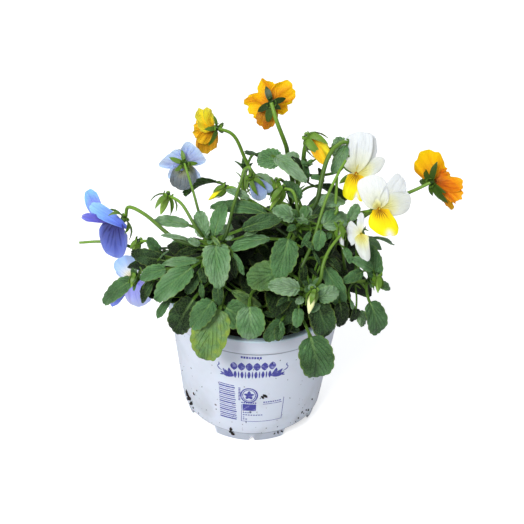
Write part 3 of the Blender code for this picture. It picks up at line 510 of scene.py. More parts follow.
# Buds that the CAD has.
BUDS = {
    "spent_left": Bud("left", 0.90, ((-35, -51, 175), (-45, -41, 186), (-54, -33, 187)),
                      (-59, -35, 175), 3.2, open_calyx=True),
    "yellow_left": Bud("centre", 0.65, ((-2, -16, 168), (-14, -14, 182), (-21, -10, 181)),
                       (-32, -10, 172), 2.9, Hue.YELLOW),
    "pale_front": Bud("front", 0.97, ((33, -66, 148), (34, -72, 150)), (31, -77, 137), 3.5,
                      Hue.IVORY),
}

# Buds too small for the CAD, in the same form.
SIDE_BUDS = {
    "left_hook": Bud("left", 0.45, ((-61, -38, 148), (-66, -34, 154), (-73, -32, 153)),
                     (-78, -32, 145), 2.0),
    "centre_hook": Bud("centre", 0.95, ((23, -38, 184), (20, -30, 191), (14, -26, 191)),
                       (6, -28, 177), 2.4),
    "right_green": Bud("right", 0.97, ((72, -44, 141), (74, -45, 144)), (75, -47, 132), 2.4),
    "white_low": Bud("right", 0.70, ((50, -38, 168), (48, -40, 176)), (51, -45, 161), 2.4,
                     Hue.WHITE),
    "withered": Bud("upper", 0.62, ((17, 0, 178), (13, -8, 187), (10, -12, 188)),
                    (12, -14, 178), 3.4, Hue.DRY),
    "far_left_green": Bud("far_left", 0.98, ((-75, -42, 134),), (-77, -46, 128), 1.9),
}

# Thin stalks that carry nothing in sight: stem, share of its length and route.
SPARE_STALKS = (
    ("far_left", 0.60, ((-80, -10, 133), (-98, -16, 141), (-114, -15, 139))),
    ("front", 0.80, ((26, -60, 154), (29, -56, 162), (33, -48, 169), (39, -34, 187),
                     (46, -22, 199), (51, -14, 205))),
    ("centre", 0.60, ((45, -32, 177), (46, -28, 183), (46, -24, 192), (46, -22, 198))),
    ("front", 0.70, ((37, -62, 148), (39, -58, 158), (42, -52, 164), (47, -46, 169),
                     (52, -42, 173))),
    ("left", 0.95, ((-20, -54, 171), (-17, -51, 179), (-15, -42, 186), (-12, -24, 190),
                    (-10, -4, 189), (-8, 8, 185))),
)


def unit(vectors: Array) -> Array:
    """Vectors of length 1."""
    return vectors / np.linalg.norm(vectors, axis=-1, keepdims=True)


def vector(point: Point | Array) -> Array:
    """Array of a point's numbers."""
    return np.array(point, float)


def ease(values: Array | float, low: float, high: float) -> Array:
    """Smooth step from 0 at low to 1 at high."""
    share = np.clip((np.asarray(values, float) - low) / (high - low), 0.0, 1.0)
    return share * share * (3 - 2 * share)


def blend(a: Array, b: Array, share: Array) -> Array:
    """Mix of a and b by a share of b."""
    return a + (b - a) * share


def linear(display: tuple[float, ...]) -> tuple[float, float, float]:
    """Linear colour of a display colour given from 0 to 255."""
    return tuple(((c / 255 + 0.055) / 1.055) ** 2.4 if c > 10 else c / 255 / 12.92
                 for c in display)


def draws(name: str) -> Draws:
    """Random draws that are the same in each run for a name."""
    return np.random.default_rng(zlib.crc32(name.encode()))


def on_curve(points: tuple[Point, ...], shares: Array) -> tuple[Array, Array]:
    """Places and directions on the smooth curve through points.

    Args:
        points: points that the curve passes through.
        shares: shares of the way along, any shape.

    Returns:
        Places and unit directions, with a last axis of three.
    """
    p = vector(points)
    if len(p) == 2:
        p = np.array([p[0], (p[0] + p[1]) / 2, p[1]])
    p = np.vstack([p[0] * 2 - p[1], p, p[-1] * 2 - p[-2]])
    place = np.clip(shares, 0, 1) * (len(p) - 3)
    index = np.minimum(place.astype(int), len(p) - 4)
    t = (place - index)[..., None]
    p0, p1, p2, p3 = (p[index + i] for i in range(4))
    linear_term = p2 - p0
    square = p0 * 2 - p1 * 5 + p2 * 4 - p3
    cubic = p1 * 3 - p0 - p2 * 3 + p3
    places = p1 + (linear_term * t + square * t ** 2 + cubic * t ** 3) / 2
    return places, unit(linear_term + square * 2 * t + cubic * 3 * t ** 2)


def on_arc(start: Array, control: Array, end: Array, t: Array) -> tuple[Array, Array]:
    """Places and unit directions on a quadratic arc, which may run past its ends."""
    t = t[..., None]
    places = start * (1 - t) ** 2 + control * (2 * t * (1 - t)) + end * t ** 2
    return places, unit((control - start) * (1 - t) + (end - control) * t)


def frame_across(direction: Array, faces: Array | Point) -> tuple[Array, Array]:
    """Side and normal vectors across a direction, the normal nearest to faces."""
    side = unit(np.cross(direction, np.broadcast_to(faces, direction.shape)))
    return side, np.cross(side, direction)


@dataclass
class Skin:
    """Closed lofts gathered into one mesh, with a UV map and named values per point."""

    points: list[Array] = field(default_factory=list)
    polygons: list[tuple[int, ...]] = field(default_factory=list)
    uvs: list[Array] = field(default_factory=list)
    values: dict[str, list[Array]] = field(default_factory=dict)
    colours: list[Array] = field(default_factory=list)
    count: int = 0

    def loft(self, top: Array, bottom: Array, uv: Array, colour: Array | None = None,
             **values: Array | float) -> None:
        """Add a closed skin between a top and a bottom grid that share their side edges.

        Args:
            top: rows by columns by three, in millimetres, columns running to the side.
            bottom: the underside; its first and last columns are taken from the top.
            uv: rows by columns by two.
            colour: rows by columns by four, or nothing.
            values: named values, each one number or rows by columns.
        """
        rows, columns = top.shape[:2]

        def ring(upper: Array, lower: Array) -> Array:
            """Rows that run over the top and back under it."""
            return np.concatenate([upper, lower[:, -2:0:-1]], axis=1)

        size = 2 * columns - 2
        index = self.count + np.arange(rows * size).reshape(rows, size)
        low, high = index[:-1], index[1:]
        quads = np.stack([low, np.roll(low, -1, 1), np.roll(high, -1, 1), high], axis=-1)
        self.polygons.extend(map(tuple, quads.reshape(-1, 4).tolist()))
        for row, flip in ((index[0], -1), (index[-1], 1)):
            for i in range(columns - 1):
                strip = [row[i], row[i + 1], row[-i - 1], row[-i] if i else row[0]]
                kept = list(dict.fromkeys(int(v) for v in strip))
                self.polygons.append(tuple(kept[::flip]))
        self.points.append(ring(top, bottom).reshape(-1, 3))
        self.uvs.append(ring(uv, uv).reshape(-1, 2))
        front = ring(np.ones((rows, columns)), np.zeros((rows, columns)))
        self.values.setdefault("front", []).append(front.ravel())
        for key, value in values.items():
            grid = np.broadcast_to(value, (rows, columns))
            self.values.setdefault(key, []).append(ring(grid, grid).ravel())
        if colour is not None:
            self.colours.append(ring(colour, colour).reshape(-1, 4))
        self.count += rows * size

    def tube(self, spine: Array, direction: Array, radii: Array, faces: Array,
             colour: Array | None = None, columns: int = 6, **values: Array | float) -> None:
        """Add a round body of given radii along a spine, closed at both ends."""
        turn = np.linspace(math.pi, 0, columns)
        side, normal = frame_across(direction, faces)
        across = side[:, None] * np.cos(turn)[:, None] * radii[:, None, None]
        rise = normal[:, None] * np.sin(turn)[:, None] * radii[:, None, None]
        share = np.linspace(0, 1, len(spine))[:, None] + np.zeros(columns)
        uv = np.stack([np.zeros_like(share) + turn / math.pi, share], axis=-1)
        if colour is not None:
            colour = np.broadcast_to(colour, (len(spine), columns, 4))
        self.loft(spine[:, None] + across + rise, spine[:, None] + across - rise, uv,
                  colour, along=share, **values)

    def mesh(self, name: str) -> bpy.types.Mesh:
        """Mesh in metres of everything that was added."""
        mesh = bpy.data.meshes.new(name)
        mesh.from_pydata((np.concatenate(self.points) * MM).tolist(), [], self.polygons)
        corners = np.empty(len(mesh.loops), np.int32)
        mesh.loops.foreach_get("vertex_index", corners)
        uv = np.concatenate(self.uvs).astype(np.float32)
        mesh.uv_layers.new(name="UVMap").uv.foreach_set("vector", uv[corners].ravel())
        for key, parts in self.values.items():
            attribute = mesh.attributes.new(key, "FLOAT", "POINT")
            attribute.data.foreach_set("value", np.concatenate(parts).astype(np.float32))
        if self.colours:
            paint = mesh.attributes.new("paint", "FLOAT_COLOR", "POINT")
            paint.data.foreach_set("color", np.concatenate(self.colours).ravel())
        return mesh


def placed(name: str, data: bpy.types.ID | None) -> bpy.types.Object:
    """New object in the scene."""
    made = bpy.data.objects.new(name, data)
    bpy.context.scene.collection.objects.link(made)
    return made


def evaluated(item: bpy.types.Object, name: str) -> bpy.types.Mesh:
    """Mesh of an object with its modifiers applied."""
    graph = bpy.context.evaluated_depsgraph_get()
    mesh = bpy.data.meshes.new_from_object(item.evaluated_get(graph))
    mesh.name = name
    return mesh


def mesh_from(bm: bmesh.types.BMesh, name: str) -> bpy.types.Mesh:
    """Mesh of an edit mesh, with its faces outward; the edit mesh is freed."""
    bmesh.ops.recalc_face_normals(bm, faces=bm.faces)
    mesh = bpy.data.meshes.new(name)
    bm.to_mesh(mesh)
    bm.free()
    return mesh


def add_piece(name: str, mesh: bpy.types.Mesh, finish: "Finish", slot: str,
              *nodes: str) -> bpy.types.Object:
    """Put a finished mesh in the scene as a piece that rides on the one body.

    Args:
        name: the piece's name.
        mesh: its mesh, in metres, with its place in its points.
        finish: the finish that dresses it.
        slot: the record's material slot; not used.
        nodes: CAD nodes that it stands for.

    Returns:
        The piece.
    """
    mesh.shade_smooth()
    mesh.set_sharp_from_angle(angle=math.radians(50))
    if not mesh.materials:
        mesh.materials.append(finish.material())
    piece = placed(name, mesh)
    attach(piece, BODY)
    if nodes:
        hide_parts(*nodes)
    LOG.info("%s: %d faces", name, len(mesh.polygons))
    return piece


class Graph:
    """A node tree being wired: plain values set sockets, and wires are linked."""

    def __init__(self, tree: bpy.types.NodeTree) -> None:
        """Start on a tree."""
        self.tree = tree

    def plug(self, socket: bpy.types.NodeSocket, value: object) -> None:
        """Set or link one input; three numbers for a colour are a display colour."""
        if isinstance(value, Wire):
            value = value.socket
        if isinstance(value, bpy.types.NodeSocket):
            self.tree.links.new(value, socket)
        elif socket.type == "RGBA" and len(value) == 3:
            socket.default_value = (*linear(value), 1.0)
        else:
            socket.default_value = value

    def fill(self, node: bpy.types.Node, inputs: dict) -> None:
        """Set or link inputs of a node by name or number."""
        for key, value in inputs.items():
            self.plug(node.inputs[key], value)

    def add(self, kind: str, inputs: dict | None = None, **settings: object) -> bpy.types.Node:
        """New node with its settings and its inputs by name or number."""
        node = self.tree.nodes.new(kind)
        for key, value in settings.items():
            setattr(node, key, value)
        self.fill(node, inputs or {})
        return node

    def wire(self, kind: str, inputs: dict | None = None, output: int | str = 0,
             **settings: object) -> "Wire":
        """One output of a new node."""
        return Wire(self, self.add(kind, inputs, **settings).outputs[output])

    def math(self, operation: str, a: object, b: object = 0.0) -> "Wire":
        """Result of a math node."""
        return self.wire("ShaderNodeMath", {0: a, 1: b}, operation=operation)

    def mix(self, share: object, a: object, b: object, way: str = "MIX") -> "Wire":
        """Mix of two colours."""
        return self.wire("ShaderNodeMix", {0: share, 6: a, 7: b}, 2, data_type="RGBA",
                         blend_type=way)

    def grey(self, value: "Wire") -> "Wire":
        """Grey as light as a value."""
        return self.wire("ShaderNodeCombineColor", {0: value, 1: value, 2: value})

    def place(self) -> "Wire":
        """Object coordinates, in metres."""
        return self.wire("ShaderNodeTexCoord", output="Object")

    def uv(self) -> tuple["Wire", "Wire"]:
        """The two coordinates of the piece's own UV map."""
        source = self.wire("ShaderNodeUVMap", uv_map="UVMap")
        split = self.add("ShaderNodeSeparateXYZ", {0: source})
        return Wire(self, split.outputs[0]), Wire(self, split.outputs[1])

    def value(self, name: str, output: str = "Fac") -> "Wire":
        """A named value of the mesh, or its colour or alpha."""
        return self.wire("ShaderNodeAttribute", output=output, attribute_name=name)

    def noise(self, scale: object, detail: float = 3.0, vector: "Wire | None" = None) -> "Wire":
        """Noise from 0 to 1 over object coordinates or another vector."""
        inputs = {"Vector": vector or self.place(), "Scale": scale, "Detail": detail}
        return self.wire("ShaderNodeTexNoise", inputs, "Fac")

    def mottle(self, colour: "Wire", patch: float, grain: float,
               amount: float) -> tuple["Wire", "Wire"]:
        """Colour and height from the shared mottle group."""
        node = self.add("ShaderNodeGroup", node_tree=mottle_group())
        self.fill(node, {"Color": colour, "Patch Scale": patch, "Grain Scale": grain,
                         "Amount": amount})
        return Wire(self, node.outputs["Color"]), Wire(self, node.outputs["Height"])

    def relief(self, height: "Wire", depth: float, strength: float) -> "Wire":
        """Normal bumped by a height."""
        return self.wire("ShaderNodeBump", {"Height": height, "Distance": depth,
                                            "Strength": strength})


@dataclass(frozen=True)
class Wire:
    """What a node puts out, with sums and steps of it written as sums and steps."""

    graph: Graph
    socket: bpy.types.NodeSocket

    def __add__(self, other: object) -> "Wire":
        """Sum with a wire or a number."""
        return self.graph.math("ADD", self, other)

    def __sub__(self, other: object) -> "Wire":
        """Difference from a wire or a number."""
        return self.graph.math("SUBTRACT", self, other)

    def __mul__(self, other: object) -> "Wire":
        """Product with a wire or a number."""
        return self.graph.math("MULTIPLY", self, other)

    def __abs__(self) -> "Wire":
        """Value without its sign."""
        return self.graph.math("ABSOLUTE", self)

    def __gt__(self, limit: object) -> "Wire":
        """1 above a limit, else 0."""
        return self.graph.math("GREATER_THAN", self, limit)

    def __lt__(self, limit: object) -> "Wire":
        """1 below a limit, else 0."""
        return self.graph.math("LESS_THAN", self, limit)

    def larger(self, other: object) -> "Wire":
        """The larger of two values."""
        return self.graph.math("MAXIMUM", self, other)

    def fraction(self) -> "Wire":
        """What is left above the last whole number."""
        return self.graph.math("FRACT", self)

    def step(self, low: float, high: float, start: float = 0.0, end: float = 1.0) -> "Wire":
        """Smooth step from low to high, put out from start to end."""
        return self.graph.wire("ShaderNodeMapRange", {0: self, 1: low, 2: high, 3: start, 4: end},
                               interpolation_type="SMOOTHSTEP")


def start_tree(name: str, kind: str, inputs: tuple[tuple[str, str, object], ...],
               outputs: tuple[tuple[str, str], ...]) -> tuple[Graph, Sockets, Sockets]:
    """Empty node tree with named sockets.

    Args:
        name: the tree's name.
        kind: the tree's type.
        inputs: name, socket type and first value of each input.
        outputs: name and socket type of each output.

    Returns:
        The graph, its input sockets and its output sockets by name.
    """
    tree = bpy.data.node_groups.new(name, kind)
    for label, sort, first in inputs:
        socket = tree.interface.new_socket(label, in_out="INPUT", socket_type=sort)
        if first is not None:
            socket.default_value = first
    for label, sort in outputs:
        tree.interface.new_socket(label, in_out="OUTPUT", socket_type=sort)
    graph = Graph(tree)
    return graph, graph.add("NodeGroupInput").outputs, graph.add("NodeGroupOutput").inputs


def mottle_group() -> bpy.types.NodeTree:
    """Colour broken up by soft patches and fine grain, with a matching height."""
    known = bpy.data.node_groups.get("Mottle")
    if known:
        return known
    graph, given, result = start_tree(
        "Mottle", "ShaderNodeTree",
        (("Color", "NodeSocketColor", (0.5, 0.5, 0.5, 1.0)),
         ("Patch Scale", "NodeSocketFloat", 120.0), ("Grain Scale", "NodeSocketFloat", 900.0),
         ("Amount", "NodeSocketFloat", 0.2)),
        (("Color", "NodeSocketColor"), ("Height", "NodeSocketFloat")))
    both = graph.noise(given["Patch Scale"], 2.0) + graph.noise(given["Grain Scale"])
    gain = (both - 1.0) * given["Amount"] + 1.0
    graph.plug(result["Color"], graph.mix(1.0, given["Color"], graph.grey(gain), "MULTIPLY"))
    graph.plug(result["Height"], both)
    return graph.tree


@dataclass(frozen=True)
class Finish:
    """A finish: a named material made once, on one Principled shader."""

    name: str
    roughness: float = 0.5

    def material(self) -> bpy.types.Material:
        """The finish's material, made when it is first asked for."""
        known = bpy.data.materials.get(self.name)
        if known:
            return known
        made = bpy.data.materials.new(self.name)
        made.use_nodes = True
        graph = Graph(made.node_tree)
        shader = made.node_tree.nodes["Principled BSDF"]
        graph.fill(shader, {"Roughness": self.roughness, **self.dress(graph)})
        return made

    def dress(self, graph: Graph) -> dict[str, object]:
        """Wires and plain values for the shader's inputs."""
        raise NotImplementedError


@dataclass(frozen=True)
class LeafFinish(Finish):
    """Living leaf: veins along the blade's own map, a waxy front and a paler back, with painted sheen on
    light leaves and painted shade on dark leaves and in the grooves of the side veins.
    """

    dark: Colour = (16, 38, 10)
    light: Colour = (88, 132, 82)
    painted_sheen: Colour = (138, 168, 132)
    vein: Colour = (144, 182, 104)
    stalk: Colour = (92, 130, 44)
    under: Colour = (52, 84, 30)
    aged: Colour = (140, 162, 58)
    vein_pairs: float = 8.0
    vein_lean: float = 2.4
    net_scale: float = 620.0

    def veins(self, graph: Graph, across: Wire) -> tuple[Wire, Wire, Wire]:
        """Strengths of the side veins, of the midrib and of the fine net."""
        u, v = graph.uv()
        ladder = v * self.vein_pairs + (u > 0.5) * 0.4 + graph.noise(160.0, 2.0) * 0.5
        beat = abs((ladder - across * self.vein_lean).fraction() - 0.5)
        side_vein = beat.step(0.4, 0.49) * across.step(1.0, 0.3)
        midrib = across.step(0.13, 0.03) * v.step(0.8, 0.15, 0.1)
        net = graph.wire("ShaderNodeTexVoronoi", {"Vector": graph.place(), "Scale": self.net_scale},
                         "Distance", feature="DISTANCE_TO_EDGE")
        return side_vein, midrib, net.step(0.12, 0.02)

    def ageing(self, graph: Graph, across: Wire) -> Wire:
        """Share of yellow, from an aged leaf's edge inwards and along every rim."""
        edge = across + graph.noise(130.0) * 0.9
        spots = graph.noise(210.0, 4.0).step(0.35, 0.65, 0.35, 1.1)
        gone = graph.value("age") * spots * edge.step(0.5, 1.4, 0.3, 0.85)
        return gone.larger(across.step(0.88, 1.0) * 0.34)

    def dress(self, graph: Graph) -> dict[str, object]:
        """Colour, roughness, relief and glow of the leaf."""
        across = abs(graph.uv()[0] - 0.5) * 2.0
        side_vein, midrib, fine = self.veins(graph, across)
        front = graph.value("front")
        tone = graph.value("tone")
        # The leaf's tone with large random patches runs the face from dark to light green; the patches are
        # partly the leaf's own mottle and partly painted light and shade.
        patched = tone + graph.noise(80.0) * 1.8 - 0.9
        face = graph.mix(patched, self.dark, self.light)
        # Painted sheen: where the patched tone rises above about 0.95, the face turns a pale bluish green
        # that stands for the sky's reflection on the wax.
        face = graph.mix(patched.step(0.95, 1.75), face, self.painted_sheen)
        # Painted shade: the face is darkened along the side veins, as shade in their grooves.
        face = graph.mix(side_vein * 0.26, face, self.dark)
        face = graph.mix(self.ageing(graph, across), face, self.aged)
        face = graph.mix(midrib * 0.7, face, self.vein)
        face = graph.mix(fine * 0.14, face, self.vein)
        face = graph.mix(graph.value("blade"), self.stalk, face)
        back = graph.mix((side_vein * 0.25).larger(midrib * 0.7), self.under, self.vein)
        # Painted shade: tones below 0 darken the whole leaf, for leaves that lie in shadow in the bush.
        shadow = graph.grey(tone.step(-1.0, 0.0, 0.18))
        both = graph.mix(1.0, graph.mix(front, back, face), shadow, "MULTIPLY")
        colour, grain = graph.mottle(both, 240.0, 1500.0, 0.35)
        wax = graph.noise(260.0).step(0.3, 0.7, self.roughness - 0.1, self.roughness + 0.1)
        height = side_vein.larger(midrib) * -0.9 - fine * 0.3 + grain * 0.7
        return {"Base Color": colour, "Roughness": wax + 0.14 - front * 0.14,
                "Normal": graph.relief(height, 0.0008, 1.0), "Subsurface Weight": 0.15,
                "Subsurface Radius": (0.5, 1.0, 0.2), "Subsurface Scale": 0.0009,
                "Specular IOR Level": 0.22}


@dataclass(frozen=True)
class PetalFinish(Finish):
    """Velvety petal: painted from the throat outwards, with fan-like veins and whiskers, and a faint
    painted glow for light that shines through it.
    """

    whisker: Colour = (84, 44, 8)
    whiskers: float = 11.0
    vein_scale: tuple[float, float] = (13.0, 1.1)

    def dress(self, graph: Graph) -> dict[str, object]:
        """Colour, roughness, relief and painted glow of the petal."""
        u, v = graph.uv()
        paint = graph.value("paint", "Color")
        fan = graph.wire("ShaderNodeCombineXYZ", {0: u * self.vein_scale[0],
                                                  1: v * self.vein_scale[1],
                                                  2: graph.value("pick")})
        streak = graph.noise(1.6, 3.0, fan)
        vein = streak.step(0.5, 0.6)
        share = vein * v.step(1.05, 0.2, 0.25) * graph.value("veins")
        colour = graph.mix(share, paint, graph.mix(1.0, paint, paint, "MULTIPLY"))
        comb = (u * self.whiskers + streak * 0.8).fraction()
        hair = abs(comb - 0.5).step(0.3, 0.12) * abs(u - 0.5).step(0.38, 0.16)
        colour = graph.mix(hair * graph.value("paint", "Alpha"), colour, self.whisker)
        colour, grain = graph.mottle(colour, 180.0, 2200.0, 0.16)
        # Painted light: a faint emission in the petal's own colour stands for light shining through the
        # thin petal.
        return {"Base Color": colour, "Emission Color": colour, "Emission Strength": 0.09,
                "Normal": graph.relief(grain * 0.4 - vein * 0.8, 0.00025, 0.7),
                "Subsurface Weight": 0.5, "Subsurface Radius": (1.0, 0.9, 0.7),
                "Subsurface Scale": 0.0025, "Sheen Weight": 0.06, "Sheen Roughness": 0.5,
                "Specular IOR Level": 0.15}


@dataclass(frozen=True)
class StalkFinish(Finish):
    """Green stalk, sepal or bud scale: darker at its foot, streaked along its length."""

    foot: Colour = (34, 60, 14)
    head: Colour = (112, 150, 52)
    deep: Colour = (34, 58, 10)

    def dress(self, graph: Graph) -> dict[str, object]:
        """Colour, relief and glow of the stalk."""
        colour = graph.mix(graph.value("along").step(0.0, 1.0), self.foot, self.head)
        colour = graph.mix(graph.value("shade"), colour, self.deep)
        colour, grain = graph.mottle(colour, 150.0, 1200.0, 0.35)
        return {"Base Color": colour, "Normal": graph.relief(grain, 0.0002, 0.6),
                "Subsurface Weight": 0.15, "Subsurface Radius": (0.5, 1.0, 0.2),
                "Subsurface Scale": 0.001, "Specular IOR Level": 0.3}


@dataclass(frozen=True)
class PlasticFinish(Finish):
    """Moulded white plastic, a little smudged, with specks of dried soil near the foot,
    painted shadow lines at the lower edge of the rim's band and at the foot ring's step,
    and a painted highlight on the rim's lip.

    painted_shadow_lines holds the height and half width of each painted shadow line,
    lip_from and lip_to the heights between which the lip's painted highlight starts, all in
    metres.
    """

    plain: Colour = (214, 220, 233)
    smudge: Colour = (178, 182, 186)
    speck: Colour = (26, 20, 18)
    lip: Colour = (214, 238, 250)
    painted_shadow: Colour = (66, 78, 92)
    painted_shadow_lines: tuple[tuple[float, float], ...] = ((0.0884, 0.0013), (0.0092, 0.0007))
    lip_from: float = 0.0984
    lip_to: float = 0.0994

    def specks(self, graph: Graph, scale: float, reach: float, bar: Wire) -> Wire:
        """Strength of round specks in those cells whose draw is above a bar."""
        cells = graph.add("ShaderNodeTexVoronoi", {"Vector": graph.place(), "Scale": scale})
        pick = graph.add("ShaderNodeSeparateColor", {0: cells.outputs["Color"]})
        distance, choice, size = (Wire(graph, socket) for socket in (
            cells.outputs["Distance"], pick.outputs[0], pick.outputs[1]))
        return (distance < size * reach) * (choice > bar) * 0.8

    def dress(self, graph: Graph) -> dict[str, object]:
        """Colour, roughness and relief of the plastic."""
        height = graph.wire("ShaderNodeSeparateXYZ", {0: graph.place()}, 2)
        low = height.step(0.05, 0.008)
        veil = graph.noise(38.0, 5.0).step(0.5, 0.72) * (low * 0.45 + 0.22)
        colour = graph.mix(veil, self.plain, self.smudge)
        for scale, reach, rare in ((170.0, 0.16, 0.80), (420.0, 0.2, 0.90)):
            dot = self.specks(graph, scale, reach, low * -0.18 + rare)
            colour = graph.mix(dot, colour, self.speck)
        # Painted shadow: dark lines under the band's step and at the foot ring's step.
        for middle, reach in self.painted_shadow_lines:
            line = abs(height - middle).step(reach, reach * 0.3, 0.0, 0.75)
            colour = graph.mix(line, colour, self.painted_shadow)
        # Painted highlight: the top of the rim's lip is turned a light bluish white, as if lit, though
        # leaves shade it.
        edge = height.step(self.lip_from, self.lip_to, 0.0, 0.9)
        rough = graph.noise(60.0, 4.0).step(0.3, 0.7, self.roughness - 0.06,
                                            self.roughness + 0.1)
        ripple = graph.noise(30.0, 2.0) + graph.noise(700.0) * 0.15
        return {"Base Color": graph.mix(edge, colour, self.lip), "Roughness": rough,
                "Normal": graph.relief(ripple, 0.0006, 0.35), "Subsurface Weight": 0.08,
                "Subsurface Scale": 0.002}


@dataclass(frozen=True)
class InkFinish(Finish):
    """Printed ink, slightly worn so that the plastic shows through in places."""

    ink: Colour = (62, 62, 150)
    worn: Colour = (150, 152, 206)

    def dress(self, graph: Graph) -> dict[str, object]:
        """Colour and relief of the ink."""
        wear = graph.noise(420.0, 4.0).step(0.5, 0.75)
        return {"Base Color": graph.mix(wear, self.ink, self.worn),
                "Normal": graph.relief(graph.noise(900.0), 0.0001, 0.3)}


@dataclass(frozen=True)
class SoilFinish(Finish):
    """Dark crumbly potting mix."""

    dark: Colour = (32, 26, 20)
    light: Colour = (78, 60, 44)

    def dress(self, graph: Graph) -> dict[str, object]:
        """Colour and relief of the soil."""
        grain = graph.noise(450.0, 6.0)
        return {"Base Color": graph.mix(grain.step(0.35, 0.7), self.dark, self.light),
                "Normal": graph.relief(grain, 0.0012, 1.0)}


@dataclass(frozen=True)
class StudioFinish(Finish):
    """Plain pale studio floor, with a glow that only the camera sees."""

    tone: Colour = (205, 206, 208)
    glow: float = 0.62

    def dress(self, graph: Graph) -> dict[str, object]:
        """Colour and glow of the floor."""
        seen = graph.wire("ShaderNodeLightPath", output="Is Camera Ray")
        return {"Base Color": self.tone, "Emission Color": (1.0, 1.0, 1.0, 1.0),
                "Emission Strength": seen * self.glow}


LEAF = LeafFinish("leaf_green", 0.44)
PETAL = PetalFinish("petal_velvet", 0.55)
STALK = StalkFinish("stalk_green", 0.42)
STEM = StalkFinish("stem_green", 0.45, foot=(86, 104, 50), head=(116, 152, 66))
PLASTIC = PlasticFinish("pot_plastic", 0.36)
INK = InkFinish("pot_ink", 0.45)
SOIL = SoilFinish("soil_mix", 0.95)
GRIT = SoilFinish("dried_soil", 0.95, dark=(14, 11, 9), light=(38, 30, 24))
FLOOR = StudioFinish("studio_floor", 0.85)


def start_geometry_tree(name: str, *inputs: tuple[str, str, object]
                        ) -> tuple[Graph, Sockets, Sockets]:
    """Geometry tree with a geometry input and output, further inputs and a material.

    Args:
        name: the tree's name.
        inputs: name, socket type and first value of each further input.

    Returns:
        The graph, its input sockets and its output sockets by name.
    """
    geometry = ("Geometry", "NodeSocketGeometry")
    material = ("Material", "NodeSocketMaterial", None)
    return start_tree(name, "GeometryNodeTree", ((*geometry, None), *inputs, material),
                      (geometry,))


def close_geometry_tree(graph: Graph, geometry: bpy.types.NodeSocket, given: Sockets,
                        result: Sockets) -> bpy.types.NodeTree:
    """End a tree in real geometry with the given material, and return the tree."""
    real = graph.add("GeometryNodeRealizeInstances", {0: geometry}).outputs[0]
    dressed = graph.add("GeometryNodeSetMaterial", {"Geometry": real,
                                                    "Material": given["Material"]})
    graph.plug(result["Geometry"], dressed.outputs[0])
    return graph.tree


def grow(name: str, source: bpy.types.ID, tree: bpy.types.NodeTree,
         inputs: dict[str, object]) -> bpy.types.Mesh:
    """Run a geometry tree on a mesh or a curve and return the plain mesh.

    Args:
        name: name for the result.
        source: mesh or curve data to start from.
        tree: the geometry tree.
        inputs: values by input name.

    Returns:
        The finished mesh.
    """
    carrier = placed(f"{name}_carrier", source)
    modifier = carrier.modifiers.new(tree.name, "NODES")
    modifier.node_group = tree
    for item in tree.interface.items_tree:
        if item.in_out == "INPUT" and item.name in inputs:
            modifier[item.identifier] = inputs[item.name]
    mesh = evaluated(carrier, name)
    bpy.data.objects.remove(carrier, do_unlink=True)
    return mesh


def tube_tree() -> bpy.types.NodeTree:
    """Round skin along curves, as thick as their radius, that knows its way along."""
    known = bpy.data.node_groups.get("Stalk Skin")
    if known:
        return known
    graph, given, result = start_geometry_tree("Stalk Skin", ("Sides", "NodeSocketInt", 10))
    way = graph.add("GeometryNodeSplineParameter").outputs["Factor"]
    known_way = graph.add("GeometryNodeStoreNamedAttribute",
                          {"Geometry": given["Geometry"], "Name": "along", "Value": way},
                          data_type="FLOAT", domain="POINT").outputs[0]
    circle = graph.add("GeometryNodeCurvePrimitiveCircle",
                       {"Resolution": given["Sides"], "Radius": 1.0}).outputs[0]
    width = graph.add("GeometryNodeInputRadius").outputs[0]
    skin = graph.add("GeometryNodeCurveToMesh", {"Curve": known_way, "Profile Curve": circle,
                                                 "Scale": width, "Fill Caps": True}).outputs[0]
    return close_geometry_tree(graph, skin, given, result)


def tube_mesh(name: str, routes: list[tuple[tuple[Point, ...], float, float]],
              finish: Finish, sides: int = 10, steps: int = 22) -> bpy.types.Mesh:
    """Mesh of round tubes along smooth routes.

    Args:
        name: name of the mesh.
        routes: points, first radius and last radius of each tube, in millimetres.
        finish: the finish that dresses it.
        sides: sides of a tube.
        steps: steps along a tube.

    Returns:
        One mesh with all tubes.
    """
    curve = bpy.data.curves.new(name, "CURVE")
    curve.dimensions = "3D"
    shares = np.linspace(0, 1, steps + 1)
    for points, first, last in routes:
        places, _ = on_curve(points, shares)
        spline = curve.splines.new("POLY")
        spline.points.add(steps)
        for spot, place, share in zip(spline.points, places * MM, shares):
            spot.co = (*place, 1.0)
            spot.radius = (first + (last - first) * share) * MM
    return grow(name, curve, tube_tree(), {"Sides": sides, "Material": finish.material()})


